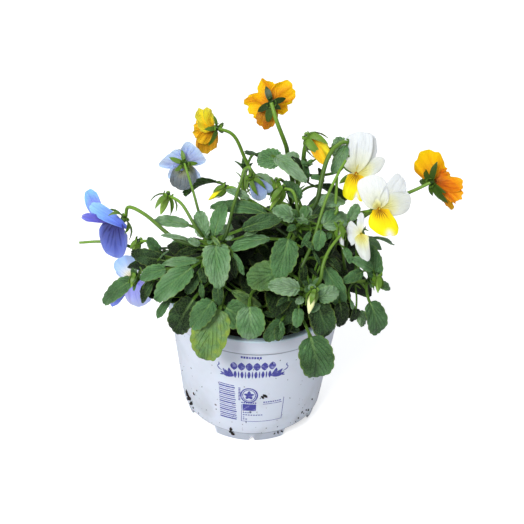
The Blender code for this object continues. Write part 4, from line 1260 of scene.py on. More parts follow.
def leafy_grid(shape: BladeShape, base: Array, tip: Array, width: float, faces: Array,
               arch: float, random: Draws) -> tuple[Array, Array, Array, Array]:
    """Top and bottom grids of a leafy blade.

    Side veins run along the rows, from the midrib out and forward to the scalloped edge.

    Args:
        shape: proportions and fineness.
        base: where the blade starts.
        tip: where it ends.
        width: its width.
        faces: direction that its top faces.
        arch: how high the blade bows, as a share of its length.
        random: draws for its own waves.

    Returns:
        Top grid, bottom grid, UV grid and the share of blade colour.
    """
    length = float(np.linalg.norm(tip - base))
    crest = (base + tip) / 2 + unit(faces) * arch * length * 2
    row = np.linspace(0, 1, shape.rows)
    column = np.linspace(-1, 1, shape.columns)
    column = np.sign(column) * np.abs(column) ** 0.85
    outline = shape.outline(row, width, length)
    left, right = (shape.side(row, outline, width, random)[:, None] for _ in range(2))
    edge = np.where((column < 0)[None, :, None], left, right)
    x = edge[..., 0] * column
    along_vein = shape.rise(row)[:, None] ** shape.slant * length
    y = blend(along_vein, edge[..., 1], np.abs(column) ** 0.9)
    place, direction = on_arc(base, crest, tip, y / length)
    side, normal = frame_across(direction, faces)
    lift = shape.lift(row, column, x, length, random)
    middle = place + side * x[..., None] + normal * lift[..., None]
    young = ease(row, 0.0, 0.05)[:, None]
    half = shape.depth(column, young) / 2
    rib = shape.rib * (1 - 0.8 * row[:, None]) * np.exp(-(x / 0.8) ** 2) * young
    top = middle + normal * half[..., None]
    bottom = middle - normal * (half + rib)[..., None]
    uv = np.stack(np.broadcast_arrays(0.5 + 0.5 * column[None, :], row[:, None]), axis=-1)
    return top, bottom, uv, np.broadcast_to(young, x.shape)


def add_blade(skin: Skin, shape: BladeShape, base: Point | Array, tip: Point | Array,
              width: float, faces: Point | Array, random: Draws,
              arch: float = 0.12, start: Array | None = None, **values: float) -> None:
    """Add one leafy blade to a skin, with its stalk where a start is given.

    Args:
        skin: the skin that takes it.
        shape: proportions and fineness.
        base: where the blade starts.
        tip: where it ends.
        width: its width.
        faces: direction that its top faces.
        random: draws for its own waves.
        arch: how high it bows, as a share of its length.
        start: where its stalk starts, or nothing.
        values: named values that go with every point.
    """
    base, tip, faces = map(vector, (base, tip, faces))
    top, bottom, uv, blade = leafy_grid(shape, base, tip, width, faces, arch, random)
    if start is not None:
        crest = (base + tip) / 2 + unit(faces) * arch * np.linalg.norm(tip - base) * 2
        bend = base - unit(crest - base) * np.linalg.norm(base - start) * 0.45
        share = np.linspace(0, 1, 10)[:-1]
        spine, direction = on_arc(start, bend, base, share)
        side, normal = frame_across(direction, faces)
        column = uv[0, :, 0] * 2 - 1
        across = spine[:, None] + side[:, None] * (column * shape.neck)[None, :, None]
        rise = normal[:, None] * (shape.neck * np.sqrt(1 - column ** 2))[None, :, None]
        top = np.concatenate([across + rise, top])
        bottom = np.concatenate([across - rise, bottom])
        stalk = np.broadcast_to(uv[:1] * np.array([1, 0]), (len(share), *uv.shape[1:]))
        uv = np.concatenate([stalk, uv])
        blade = np.concatenate([np.zeros((len(share), len(column))), blade])
    rows = len(top)
    way = np.linspace(BLADE_START if start is None else 0.0, 1, rows)[:, None]
    skin.loft(top, bottom, uv, blade=blade, along=way, **values)


def nearest_stem(place: Array) -> Array:
    """The place on any main stem that is nearest to a place and below it."""
    shares = np.linspace(0.1, 1, 40)
    spots = np.concatenate([on_curve(points, shares)[0] for points in STEMS.values()])
    distance = np.linalg.norm(spots - place, axis=1) + np.maximum(spots[:, 2] - place[2], 0)
    return spots[np.argmin(distance)]


@dataclass(frozen=True)
class Pot:
    """Low nursery pot: sizes as in the CAD, with marks and grit on its wall."""

    height: float = 100.0
    rim_radius: float = 60.0
    band_height: float = 11.0
    band_step: float = 1.3
    wall: float = 1.2
    foot_radius: float = 50.6
    ring_height: float = 9.0
    ring_radius: float = 48.4
    ring_wall: float = 3.0
    floor_low: float = 7.6
    floor_top: float = 9.6
    pad_radius: float = 9.0
    drain_count: int = 6
    drain_radius: float = 3.0
    drain_circle: float = 30.0
    segments: int = 160

    def inner_radius(self, height: float) -> float:
        """Inside radius of the wall at a height."""
        top = self.rim_radius - self.band_step - self.wall
        foot = self.foot_radius - self.wall
        band_bottom = self.height - self.band_height
        return foot + (top - foot) * (height - self.floor_top) / (band_bottom - self.floor_top)

    def outer_radius(self, height: Array) -> Array:
        """Outside radius of the wall at heights."""
        low = self.ring_height + 0.6
        high = self.height - self.band_height - 0.5
        top = self.rim_radius - self.band_step
        return self.foot_radius + (top - self.foot_radius) * (height - low) / (high - low)

    def profile(self) -> list[tuple[float, float]]:
        """Section of the pot from the middle of its underside to the middle of its floor."""
        top, rim, pad = self.height, self.rim_radius, self.pad_radius
        band = top - self.band_height
        below_band = rim - self.band_step
        foot, low = self.ring_radius, self.floor_low
        ring, ring_top = foot - self.ring_wall, self.ring_height
        wall = [(float(self.outer_radius(z)), z)
                for z in np.linspace(ring_top + 0.6, band - 0.8, 12)]
        inside = [(self.inner_radius(z), z) for z in np.linspace(band, self.floor_top, 10)]
        return [
            (0.0, 0.0), (pad - 0.3, 0.0), (pad, 0.3), (pad + 0.6, low - 0.4), (pad + 1, low),
            (ring - 0.4, low), (ring, low - 0.4), (ring + 0.4, 0.3), (ring + 0.7, 0.0),
            (foot - 0.8, 0.0), (foot - 0.5, 0.25), (foot - 0.05, ring_top - 0.6),
            (foot + 0.3, ring_top - 0.2), (self.foot_radius - 0.6, ring_top),
            (self.foot_radius - 0.15, ring_top + 0.2), *wall,
            (below_band - 0.5, band - 0.5), (below_band - 0.4, band - 0.2),
            (rim - 0.35, band), (rim - 0.1, band + 0.3), (rim - 0.1, top - 8.0),
            (rim - 0.35, top - 5.0), (rim - 0.1, top - 2.4), (rim, top - 1.6), (rim, top - 0.7),
            (rim - 0.25, top - 0.25), (rim - 0.6, top - 0.05), (rim - 2.2, top - 0.05),
            (rim - 3.6, top - 0.15), (rim - 4.1, top - 0.4), (rim - 4.3, top - 0.8),
            (rim - 4.1, top - 1.4), (rim - 3.0, top - 2.4), (rim - 2.4, top - 4.5),
            (rim - 2.4, band + 1.2), *inside, (0.0, self.floor_top)]

    def lathe_tree(self) -> bpy.types.NodeTree:
        """Geometry tree that turns a profile curve about Z."""
        graph, given, result = start_geometry_tree(
            "Turned Body", ("Segments", "NodeSocketInt", 64), ("Hub", "NodeSocketFloat", 0.01))
        circle = graph.add("GeometryNodeCurvePrimitiveCircle",
                           {"Resolution": given["Segments"], "Radius": given["Hub"]})
        swept = graph.add("GeometryNodeCurveToMesh", {"Curve": circle.outputs[0],
                                                      "Profile Curve": given["Geometry"]})
        merged = graph.add("GeometryNodeMergeByDistance",
                           {"Geometry": swept.outputs[0], "Distance": 0.00001})
        return close_geometry_tree(graph, merged.outputs[0], given, result)

    def cutters(self) -> list[bpy.types.Object]:
        """Helpers for the four wide foot gaps, the front notch and the drain holes."""
        def helper(name: str, bm: bmesh.types.BMesh, angle: float) -> bpy.types.Object:
            """Cutter in metres, turned about Z."""
            turn = Matrix.Rotation(math.radians(angle), 4, "Z")
            bmesh.ops.transform(bm, matrix=turn @ Matrix.Scale(MM, 4), verts=bm.verts)
            return placed(name, mesh_from(bm, name))

        found = []
        gap = ((-13.6, -2), (13.6, -2), (11.6, 6.6), (-11.6, 6.6))
        notch = ((-2.5, -1), (2.5, -1), (1.2, 2.6), (0.0, 4.0), (-1.2, 2.6))
        shapes = [(gap, 39, 58, angle) for angle in (45, 135, 225, 315)]
        for outline, near, far, angle in shapes + [(notch, 42, 56, -88)]:
            bm = bmesh.new()
            face = bm.faces.new([bm.verts.new((near, y, z)) for y, z in outline])
            grown = bmesh.ops.extrude_face_region(bm, geom=[face])["geom"]
            moved = [v for v in grown if isinstance(v, bmesh.types.BMVert)]
            bmesh.ops.translate(bm, vec=(far - near, 0, 0), verts=moved)
            found.append(helper(f"foot_cut_{angle}", bm, angle))
        step = 360 / self.drain_count
        for index in range(self.drain_count):
            bm = bmesh.new()
            bmesh.ops.create_cone(bm, cap_ends=True, segments=24, radius1=self.drain_radius,
                                  radius2=self.drain_radius, depth=8)
            middle = (self.floor_low + self.floor_top) / 2
            bmesh.ops.translate(bm, vec=(self.drain_circle, 0, middle), verts=bm.verts)
            found.append(helper(f"drain_cut_{index}", bm, step * (index + 0.5)))
        return found

    def build(self) -> None:
        """Turn the pot, cut its feet and drain holes and dress it."""
        hub = 0.01
        curve = bpy.data.curves.new("pot_profile", "CURVE")
        curve.dimensions = "3D"
        spline = curve.splines.new("POLY")
        section = self.profile()
        spline.points.add(len(section) - 1)
        for spot, (radius, height) in zip(spline.points, section):
            spot.co = (radius * MM - hub, -height * MM, 0, 1)
        turned = grow("pot_body", curve, self.lathe_tree(),
                      {"Segments": self.segments, "Hub": hub, "Material": PLASTIC.material()})
        bm = bmesh.new()
        bm.from_mesh(turned)
        rough = placed("pot_rough", mesh_from(bm, "pot_rough"))
        helpers = self.cutters()
        for each in helpers:
            cut = rough.modifiers.new(each.name, "BOOLEAN")
            cut.operation = "DIFFERENCE"
            cut.object = each
            cut.solver = "EXACT"
        mesh = evaluated(rough, "pot_body")
        for each in [rough, *helpers]:
            bpy.data.objects.remove(each, do_unlink=True)
        piece = add_piece("pot_body", mesh, PLASTIC, "pot", "pot")
        bevel = piece.modifiers.new("soft_edges", "BEVEL")
        bevel.width = 0.25 * MM
        bevel.segments = 2
        bevel.limit_method = "ANGLE"
        bevel.angle_limit = math.radians(50)

    def bearing(self, arc: Array) -> Array:
        """Angle from the front line of an arc in millimetres along the wall's middle."""
        return arc / self.foot_radius * 0.94

    def on_wall(self, arc: Array, height: Array, proud: float) -> Array:
        """Points on the wall: arc is millimetres to the right of the front line."""
        radius = self.outer_radius(height) + proud
        angle = self.bearing(arc)
        return np.stack([np.sin(angle) * radius, -np.cos(angle) * radius, height], axis=-1)


@dataclass(frozen=True)
class Marks:
    """Plain printed marks on the pot's front.

    Places are millimetres to the right of the front line and above the ground.
    """

    pot: Pot
    emblem: tuple[float, float] = (-1.3, 49.0)

    def stroke(self, skin: Skin, line: Array, half: Array, columns: int = 5) -> None:
        """Add one flat mark that follows a line on the wall.

        Args:
            skin: the skin that takes it.
            line: rows of arc and height in millimetres.
            half: half width at each row.
            columns: points across.
        """
        along = unit(np.gradient(line, axis=0))
        right = np.stack([along[:, 1], -along[:, 0]], axis=-1)
        column = np.linspace(-1, 1, columns)
        spots = line[:, None] + right[:, None] * (column[None, :, None] * half[:, None, None])
        grids = [self.pot.on_wall(spots[..., 0], spots[..., 1], proud) for proud in (0.05, -0.1)]
        share = np.linspace(0, 1, len(line))
        uv = np.stack(np.broadcast_arrays(0.5 + 0.5 * column[None, :], share[:, None]), axis=-1)
        skin.loft(grids[0], grids[1], uv)

    def bar(self, skin: Skin, left: float, right: float, low: float, high: float) -> None:
        """Add an upright rectangle, wide ones with enough columns to follow the wall."""
        middle = (left + right) / 2
        line = np.array([[middle, low], [middle, (low + high) / 2], [middle, high]])
        columns = 3 + int((right - left) / 2)
        self.stroke(skin, line, np.full(3, (right - left) / 2), columns)

    def ring(self, skin: Skin, arc: float, height: float, wide: float, tall: float,
             half: float) -> None:
        """Add an oval line."""
        turn = np.linspace(0, 2 * math.pi, 37)
        line = np.stack([arc + wide * np.cos(turn), height + tall * np.sin(turn)], axis=-1)
        self.stroke(skin, line, np.full(37, half), 3)

    def lens(self, skin: Skin, start: tuple[float, float], end: tuple[float, float],
             width: float, bow: float = 0.0) -> None:
        """Add a leaf-shaped mark from start to end, bowed to its right."""
        share = np.linspace(0, 1, 11)
        a, b = np.array(start), np.array(end)
        across = np.array([(b - a)[1], -(b - a)[0]])
        line = a + (b - a) * share[:, None] + across * (bow * np.sin(math.pi * share))[:, None]
        self.stroke(skin, line, width / 2 * np.sin(math.pi * (0.02 + 0.96 * share)) ** 0.8, 5)

    def dashes(self, skin: Skin, left: float, right: float, height: float, half: float,
               count: int, share: float = 0.7) -> None:
        """Add a row of equal short bars, each a share of its step wide."""
        step = (right - left) / count
        for index in range(count):
            start = left + step * index
            self.bar(skin, start, start + step * share, height - half, height + half)

    def add_sprigs(self, skin: Skin) -> None:
        """Leafy ornaments at both ends of the large row, with curled stalks outside."""
        for hand in (-1, 1):
            def place(arc: float, height: float) -> tuple[float, float]:
                """Place on this hand's side, a little higher on the right."""
                return 0.3 + hand * arc, height + (1.6 if hand > 0 else 0.0)

            foot = place(11.6, 66.4)
            for arc, height, width in ((20.4, 68.2, 2.8), (18.6, 71.6, 3.2), (14.6, 73.4, 2.6)):
                self.lens(skin, foot, place(arc, height), width, 0.12 * hand)
            self.lens(skin, place(17.6, 66.6), place(20.8, 65.4), 1.3)
            self.lens(skin, place(19.0, 69.4), place(22.4, 73.2), 0.9, 0.15 * hand)
            self.lens(skin, place(22.4, 72.8), place(21.4, 76.6), 0.8, -0.2 * hand)

    def add_lozenges(self, skin: Skin) -> None:
        """Large and small rows of upright lozenges, under a row of dashes."""
        self.dashes(skin, -7.0, 5.8, 85.0, 0.95, 8, 0.75)
        rows = ((6, -11.2, 4.7, 72.4, 7.2, 0.3, (4.5,)),
                (11, -10.4, 2.15, 65.0, 6.6, 0.15, (2.0, 1.0)))
        for count, first, step, low, tall, climb, widths in rows:
            for index in range(count):
                middle = first + step * index
                foot = low + climb * index
                self.lens(skin, (middle, foot), (middle, foot + tall),
                          widths[index % len(widths)])

    def add_stripes(self, skin: Skin) -> None:
        """Level stripes of uneven height and length, with a short column beside them."""
        for index in range(18):
            height = 23.6 + 1.96 * index
            half = (0.62, 0.34, 0.5, 0.26)[index % 4]
            short = (0.0, 0.5, 0.2)[index % 3] - 0.1 * index
            self.bar(skin, -21.8, -9.6 + short, height - half, height + half)
        for index in range(9):
            self.bar(skin, -8.4, -7.0, 43.6 + 1.45 * index, 44.4 + 1.45 * index)

    def add_emblem(self, skin: Skin) -> None:
        """Two ovals round five petals, with dashes and a block under them."""
        across, height = self.emblem
        self.ring(skin, across, height, 5.4, 6.9, 0.5)
        self.ring(skin, across, height, 4.2, 5.5, 0.28)
        for turn in range(5):
            angle = math.radians(90 + 72 * turn)
            tip = (across + 3.4 * math.cos(angle), height + 4.4 * math.sin(angle))
            self.lens(skin, self.emblem, tip, 2.4)
        self.dashes(skin, -6.4, 4.2, 41.6, 0.6, 7)
        self.bar(skin, -5.5, 3.7, 33.6, 40.2)

    def add_frame(self, skin: Skin) -> None:
        """Thin frame with rows of dashes in it."""
        left, right, low, high = -6.4, 22.8, 22.4, 44.4
        for a, b, c, d in ((left, right, low, low + 0.4), (left, left + 0.4, low, 39.6),
                           (right - 0.4, right, low, high), (8.2, 21.4, 40.0, 40.5)):
            self.bar(skin, a, b, c, d)
        self.dashes(skin, 8.4, 21.0, 42.2, 0.55, 8)
        for height, reach, count in ((31.6, 1.0, 4), (29.2, 9.0, 8), (26.8, -3.6, 1),
                                     (24.8, -1.6, 2)):
            self.dashes(skin, -5.2, reach, height, 0.45, count)

    def build(self) -> None:
        """Make the marks as one piece."""
        skin = Skin()
        for add in (self.add_lozenges, self.add_sprigs, self.add_stripes, self.add_emblem,
                    self.add_frame):
            add(skin)
        add_piece("pot_marks", skin.mesh("pot_marks"), INK, "pot")


@dataclass(frozen=True)
class Grit:
    """Small crumbs of soil that stick to the pot's wall and foot.

    large_specks holds the place along the wall, the height and the size of each large one.
    """

    pot: Pot
    small_specks: int = 90
    large_specks: tuple[Point, ...] = (
        (-57, 21.5, 3.0), (-54.5, 18.5, 3.4), (-52, 15.5, 2.8), (-46, 30, 1.3), (-50, 12.5, 1.0),
        (-42, 36, 0.7), (-14, 11.7, 1.9), (-14, 7.6, 2.6), (-13.4, 5, 1.8), (7.6, 47.4, 1.6),
        (9.2, 48.6, 2.2), (6.2, 46.4, 0.6), (52.5, 24, 1.2), (50, 15, 1.4), (47, 17, 1.1),
        (44.5, 15.5, 0.8), (42, 18.3, 1.1), (39, 14, 0.9), (26.4, 4.7, 1.1), (23, 5, 1.3),
        (20, 4.6, 0.8), (-30, 74, 0.9), (-30.8, 76, 0.7), (4, 83.5, 0.5), (12, 79.5, 0.6),
        (34, 69, 0.6), (-2.8, 21.6, 0.8), (-36, 44, 0.6), (-25, 28, 0.6))

    def build(self) -> None:
        """Make the specks: larger ones at chosen places and small ones by chance."""
        skin = Skin()
        random = draws("grit")
        spots = list(self.large_specks)
        for _ in range(self.small_specks):
            arc = random.uniform(-150, 150)
            height = 10 + 74 * random.uniform() ** 2.2
            spots.append((arc, height, random.uniform(0.22, 0.6)))
        for arc, height, size in spots:
            on_ring = height < self.pot.ring_height
            radius = self.pot.ring_radius if on_ring else float(self.pot.outer_radius(height))
            angle = self.pot.bearing(arc)
            out = np.array([math.sin(angle), -math.cos(angle), 0.0])
            centre = out * radius + np.array([0, 0, height])
            lean = unit(np.array([0, 0, 1.0]) + np.cross(out, [0, 0, 1]) * random.normal(0, 0.7))
            share = np.linspace(-1, 1, 5)
            spine = centre + lean * (share * size)[:, None]
            radii = size * 0.55 * np.sqrt(1.05 - share ** 2) * random.uniform(0.7, 1.2, 5)
            direction = np.broadcast_to(lean, spine.shape)
            skin.tube(spine, direction, radii, out, columns=4)
        add_piece("pot_grit", skin.mesh("pot_grit"), GRIT, "soil")


@dataclass(frozen=True)
class Soil:
    """Potting mix that fills the pot, with loose crumbs on top."""

    pot: Pot
    top: float = 88.0
    edge_top: float = 86.0
    bottom: float = 9.9
    crumbs_per_square_metre: float = 62000.0

    def surface(self, radius: Array, angle: Array) -> Array:
        """Height of the soil at a radius and an angle."""
        limit = self.pot.inner_radius(self.edge_top)
        crown = blend(self.top, self.edge_top, (radius / limit) ** 2)
        x = radius * np.cos(angle)
        y = radius * np.sin(angle)
        hills = np.sin(x * 0.21 + 1.3) * np.cos(y * 0.17 - 0.6)
        lumps = np.sin(x * 0.9 + np.cos(y * 0.7) * 2) * np.sin(y * 0.83 + x * 0.2)
        return crown + 0.7 * hills + 0.45 * lumps

    def build_bed(self) -> bpy.types.Mesh:
        """The closed body of soil; returns a copy of its mesh for the crumbs."""
        bm = bmesh.new()
        turn = np.linspace(0, 2 * math.pi, 97)[:-1]
        foot = self.pot.inner_radius(self.bottom) - 0.4
        limit = self.pot.inner_radius(self.edge_top) - 0.2
        rings = [[(foot * math.cos(a), foot * math.sin(a), self.bottom) for a in turn]]
        for radius in np.linspace(limit, 1.5, 26):
            height = self.surface(np.full(len(turn), radius), turn)
            rings.append([(radius * math.cos(a), radius * math.sin(a), h)
                          for a, h in zip(turn, height)])
        loops = [[bm.verts.new(Vector(p) * MM) for p in ring] for ring in rings]
        for low, high in zip(loops, loops[1:]):
            for i in range(len(low)):
                bm.faces.new((low[i - 1], low[i], high[i], high[i - 1]))
        bm.faces.new(loops[0][::-1])
        bm.faces.new(loops[-1])
        mesh = mesh_from(bm, "soil_bed")
        copy = mesh.copy()
        add_piece("soil_bed", mesh, SOIL, "soil", "soil")
        return copy

    def crumb_tree(self) -> bpy.types.NodeTree:
        """Geometry tree that scatters lumps over the upper faces of a mesh."""
        graph, given, result = start_geometry_tree(
            "Soil Crumbs", ("Density", "NodeSocketFloat", 50000.0),
            ("Smallest", "NodeSocketFloat", 0.0005), ("Largest", "NodeSocketFloat", 0.002),
            ("Seed", "NodeSocketInt", 7))
        normal = graph.add("GeometryNodeInputNormal").outputs[0]
        upward = graph.add("ShaderNodeSeparateXYZ", {0: normal}).outputs[2]
        chosen = graph.math("GREATER_THAN", upward, 0.5)
        spread = graph.add("GeometryNodeDistributePointsOnFaces",
                           {"Mesh": given["Geometry"], "Selection": chosen,
                            "Density": given["Density"], "Seed": given["Seed"]})
        lump = graph.add("GeometryNodeMeshIcoSphere", {"Radius": 1.0, "Subdivisions": 2})
        bumps = graph.add("ShaderNodeTexNoise", {"Scale": 1.3, "Detail": 1.0})
        offset = graph.add("ShaderNodeVectorMath", {0: bumps.outputs["Color"],
                                                    1: (0.5, 0.5, 0.5)}, operation="SUBTRACT")
        pushed = graph.add("GeometryNodeSetPosition", {"Geometry": lump.outputs[0],
                                                       "Offset": offset.outputs[0]})
        size = graph.add("FunctionNodeRandomValue",
                         {"Seed": given["Seed"], 2: given["Smallest"], 3: given["Largest"]},
                         data_type="FLOAT")
        turn = graph.add("FunctionNodeRandomValue",
                         {"Seed": given["Seed"], 1: (6.28, 6.28, 6.28)},
                         data_type="FLOAT_VECTOR")
        lumps = graph.add("GeometryNodeInstanceOnPoints",
                          {"Points": spread.outputs["Points"], "Instance": pushed.outputs[0],
                           "Rotation": turn.outputs[0], "Scale": size.outputs[1]})
        return close_geometry_tree(graph, lumps.outputs[0], given, result)

    def build(self) -> None:
        """Make the bed and its crumbs."""
        copy = self.build_bed()
        mesh = grow("soil_crumbs", copy, self.crumb_tree(),
                        {"Density": self.crumbs_per_square_metre, "Seed": 11,
                         "Smallest": 0.4 * MM, "Largest": 1.7 * MM,
                         "Material": SOIL.material()})
        add_piece("soil_crumbs", mesh, SOIL, "soil")


@dataclass(frozen=True)
class Shoots:
    """Main stems with young leaves at their tips and narrow stipules at their nodes."""

    foot_radius: float = 1.9
    tip_radius: float = 1.1
    whorl: int = 7
    front: Point = (0, -1, 0.4)

    def build_stems(self) -> None:
        """The seven stems as one piece."""
        routes = []
        for points in STEMS.values():
            sunk = (points[0][0], points[0][1], points[0][2] - 4)
            routes.append(((sunk, *points[1:]), self.foot_radius, self.tip_radius))
        mesh = tube_mesh("shoots", routes, STEM, sides=12)
        add_piece("shoots", mesh, STEM, "stem", *(f"stem_{name}" for name in STEMS))

    def add_whorl(self, skin: Skin, place: Array, direction: Array,
                  random: Draws) -> None:
        """Add young leaves round a shoot's tip, each turned on from the last."""
        side, normal = frame_across(direction, self.front)
        for index in range(self.whorl):
            angle = index * 2.4 + random.uniform(-0.3, 0.3)
            out = side * math.cos(angle) + normal * math.sin(angle)
            length = random.uniform(6, 11) + index * 0.5
            lean = unit(out * random.uniform(0.8, 1.4) + direction + np.array([0, 0, 0.3]))
            up = unit(direction + np.array([0, 0, 0.8]) - out * 0.2)
            add_blade(skin, YOUNG, place + lean * 0.8, place + lean * length, length * 0.42, up,
                      random, arch=0.1, tone=random.uniform(0.75, 1.1), age=0.15)

    def add_stipules(self, skin: Skin, place: Array, direction: Array,
                     random: Draws) -> None:
        """Add three narrow stipules round a node."""
        side, normal = frame_across(direction, self.front)
        for _ in range(3):
            angle = random.uniform(0, 2 * math.pi)
            out = side * math.cos(angle) + normal * math.sin(angle)
            lean = unit(out + direction * random.uniform(0.3, 1.2))
            length = random.uniform(5, 9)
            add_blade(skin, SEPAL, place + out, place + out + lean * length,
                      random.uniform(1.2, 2.2), unit(direction + out * 0.2), random,
                      tone=0.7, age=0.1)

    def build_tips(self) -> None:
        """Young leaves at each shoot's tip and stipules at the nodes of its upper part."""
        young, lobes = Skin(), Skin()
        nodes = np.arange(0.35, 1.0, 0.13)
        for name, points in STEMS.items():
            random = draws(f"tip_{name}")
            places, directions = on_curve(points, np.array([0.985, *nodes]))
            self.add_whorl(young, places[0], directions[0], random)
            for place, direction in zip(places[1:], directions[1:]):
                self.add_stipules(lobes, place, direction, random)
        add_piece("young_leaves", young.mesh("young_leaves"), LEAF, "leaf")
        add_piece("stipules", lobes.mesh("stipules"), STALK, "stalk")

    def build(self) -> None:
        """Make every piece of the shoots."""
        self.build_stems()
        self.build_tips()


@dataclass(frozen=True)
class Foliage:
    """The bushy dome of leaves.

    skirt is how far the inner shell comes down, 1 for half a ball; leaves within rim_reach
    of the middle stay above rim_clear, and those under steep_below point upwards. canopy
    holds places across the bush with its height there.
    """

    centre: Point = (0.0, 2.0, 108.0)
    reach: Point = (98.0, 77.0, 90.0)
    hidden_count: int = 300
    skirt: float = 1.12
    rim_clear: float = 93.0
    rim_reach: float = 66.0
    steep_below: float = 116.0
    canopy: tuple[tuple[float, float], ...] = (
        (-95, 92), (-70, 104), (-45, 122), (-15, 150), (15, 164), (45, 160), (70, 132), (90, 100))

    def outward(self, place: Array) -> Array:
        """Direction out of the dome at a place."""
        return unit((place - np.array(self.centre)) / np.array(self.reach) ** 2)

    def build_main(self) -> None:
        """One piece for each leaf that the CAD has."""
        for name, leaf in LEAVES.items():
            random = draws(name)
            skin = Skin()
            start = on_curve(STEMS[leaf.stem], np.array([leaf.at]))[0][0]
            add_blade(skin, leaf.shape, leaf.base, leaf.tip, leaf.width, leaf.faces, random,
                      leaf.arch, start, tone=leaf.tone, age=leaf.age)
            slot = "leaf_yellowing" if name == "yellow_front_left" else "leaf"
            add_piece(f"blade_{name}", skin.mesh(name), LEAF, slot, f"leaf_{name}")

    def build_small(self) -> None:
        """The smaller leaves between them, as one piece."""
        skin = Skin()
        random = draws("small_leaves")
        for base, tip, width, shape, tone, age in SMALL_LEAVES:
            start = nearest_stem(vector(base))
            faces = self.outward(vector(base)) + np.array([0, -0.2, 0.5])
            fitted = shape.small() if width < SMALL_WIDTH else shape
            add_blade(skin, fitted, base, tip, width, faces, random, 0.1, start, tone=tone,
                      age=age)
        add_piece("small_leaves", skin.mesh("small_leaves"), LEAF, "leaf")

    def shell_place(self, index: int, random: Draws) -> tuple[Array, bool]:
        """Place on an inner shell, and whether it is on the bush's front."""
        share = (index + 0.5) / self.hidden_count
        height = 1 - self.skirt * share
        ring = math.sqrt(1 - height ** 2) if share < 0.98 else 1.0
        golden = math.pi * (3 - math.sqrt(5))
        angle = golden * index
        front = math.sin(angle) * ring < 0.05
        depth = random.uniform(0.42, 0.7) if front else random.uniform(0.5, 0.8)
        shell = np.array([math.cos(angle) * ring, math.sin(angle) * ring, height])
        return np.array(self.centre) + shell * depth * np.array(self.reach), front

    def posed(self, place: Array, front: bool,
              random: Draws) -> tuple[Array, Array, Array, float]:
        """Base, direction, facing and size of a hidden leaf at a place."""
        out = self.outward(place)
        swing = random.normal(0, 0.45, 3)
        droop = np.array([0, 0, -0.25 if front else -0.45])
        lean = unit(out * np.array([1, 1, 0.4]) + droop + swing * 0.8)
        faces = unit(out + np.array([0, 0, 0.7]) + swing * 0.4)
        size = random.uniform(0.7, 1.15)
        length = 24 * size
        rise = min(max((self.steep_below - place[2]) / length, lean[2]), 0.95)
        if front and rise > lean[2]:
            level = unit(lean * np.array([1, 1, 0]))
            lean = level * math.sqrt(1 - rise ** 2) + np.array([0, 0, rise])
        return place, lean, faces, size

    def hidden_places(self) -> list[tuple[Array, Array, Array, float]]:
        """Base, direction, facing and size of each leaf that fills the bush."""
        random = draws("hidden")
        found = []
        for index in range(self.hidden_count):
            place, front = self.shell_place(index, random)
            limit = np.interp(place[0], *zip(*self.canopy)) - 0.67 * max(place[1] + 10, 0)
            if place[2] > limit:
                place[2] = limit - random.uniform(0, 12)
            under_right_flowers = place[0] > 50 and place[1] < 10 and place[2] < 132
            if under_right_flowers:
                continue
            if place[2] < self.rim_clear and math.hypot(place[0], place[1]) < self.rim_reach:
                place[2] = self.rim_clear + random.uniform(0, 10)
            found.append(self.posed(place, front, random))
        return found

    def fill_tree(self) -> bpy.types.NodeTree:
        """Geometry tree that sets leaves on points by their own turn, size and tone."""
        graph, given, result = start_geometry_tree("Leaf Fill",
                                                   ("Leaf", "NodeSocketObject", None))
        leaf = graph.add("GeometryNodeObjectInfo", {"Object": given["Leaf"]})
        turn, size, shade = (
            graph.wire("GeometryNodeInputNamedAttribute", {"Name": name}, data_type=kind)
            for name, kind in (("turn", "FLOAT_VECTOR"), ("size", "FLOAT"), ("shade", "FLOAT")))
        cloud = graph.add("GeometryNodeMeshToPoints", {"Mesh": given["Geometry"]})
        leaves = graph.add("GeometryNodeInstanceOnPoints",
                           {"Points": cloud.outputs[0], "Instance": leaf.outputs["Geometry"],
                            "Rotation": turn, "Scale": size})
        toned = graph.add("GeometryNodeStoreNamedAttribute",
                          {"Geometry": leaves.outputs[0], "Name": "tone", "Value": shade},
                          data_type="FLOAT", domain="INSTANCE")
        return close_geometry_tree(graph, toned.outputs[0], given, result)

    def build_hidden(self) -> None:
        """The leaves inside the bush and on its far side, and their stalks."""
        skin = Skin()
        add_blade(skin, HIDDEN, (0, 0, 0), (0, 24, 0), 16, (0, 0, 1), draws("pattern"), age=0.0)
        pattern = placed("leaf_pattern", skin.mesh("leaf_pattern"))
        places = self.hidden_places()
        points = bpy.data.meshes.new("leaf_points")
        points.from_pydata([tuple(place * MM) for place, _, _, _ in places], [], [])
        turns, sizes, shades, routes = [], [], [], []
        random = draws("shades")
        for place, lean, faces, size in places:
            side, normal = frame_across(lean, faces)
            turns.extend(Matrix([side, lean, normal]).transposed().to_euler())
            sizes.append(size)
            # Leaves in the middle of the bush's front get tones below 0, painted shade for the dark gaps
            # between the front leaves; the others get random lighter tones.
            deep = place[1] < 12 and abs(place[0]) < 64
            shades.append(random.uniform(-0.85, -0.3) if deep else random.uniform(0.0, 0.75))
            inner = nearest_stem(place - lean * 10)
            middle = (inner + place) / 2 - np.array([0, 0, 4])
            routes.append(((tuple(inner), tuple(middle), tuple(place + lean)), 0.9, 0.8))
        attribute = points.attributes.new("turn", "FLOAT_VECTOR", "POINT")
        attribute.data.foreach_set("vector", turns)
        for name, values in (("size", sizes), ("shade", shades)):
            points.attributes.new(name, "FLOAT", "POINT").data.foreach_set("value", values)
        mesh = grow("inner_leaves", points, self.fill_tree(),
                        {"Leaf": pattern, "Material": LEAF.material()})
        bpy.data.objects.remove(pattern, do_unlink=True)
        add_piece("inner_leaves", mesh, LEAF, "leaf")
        stalks = tube_mesh("inner_stalks", routes, STEM, sides=6, steps=7)
        add_piece("inner_stalks", stalks, STEM, "stem")

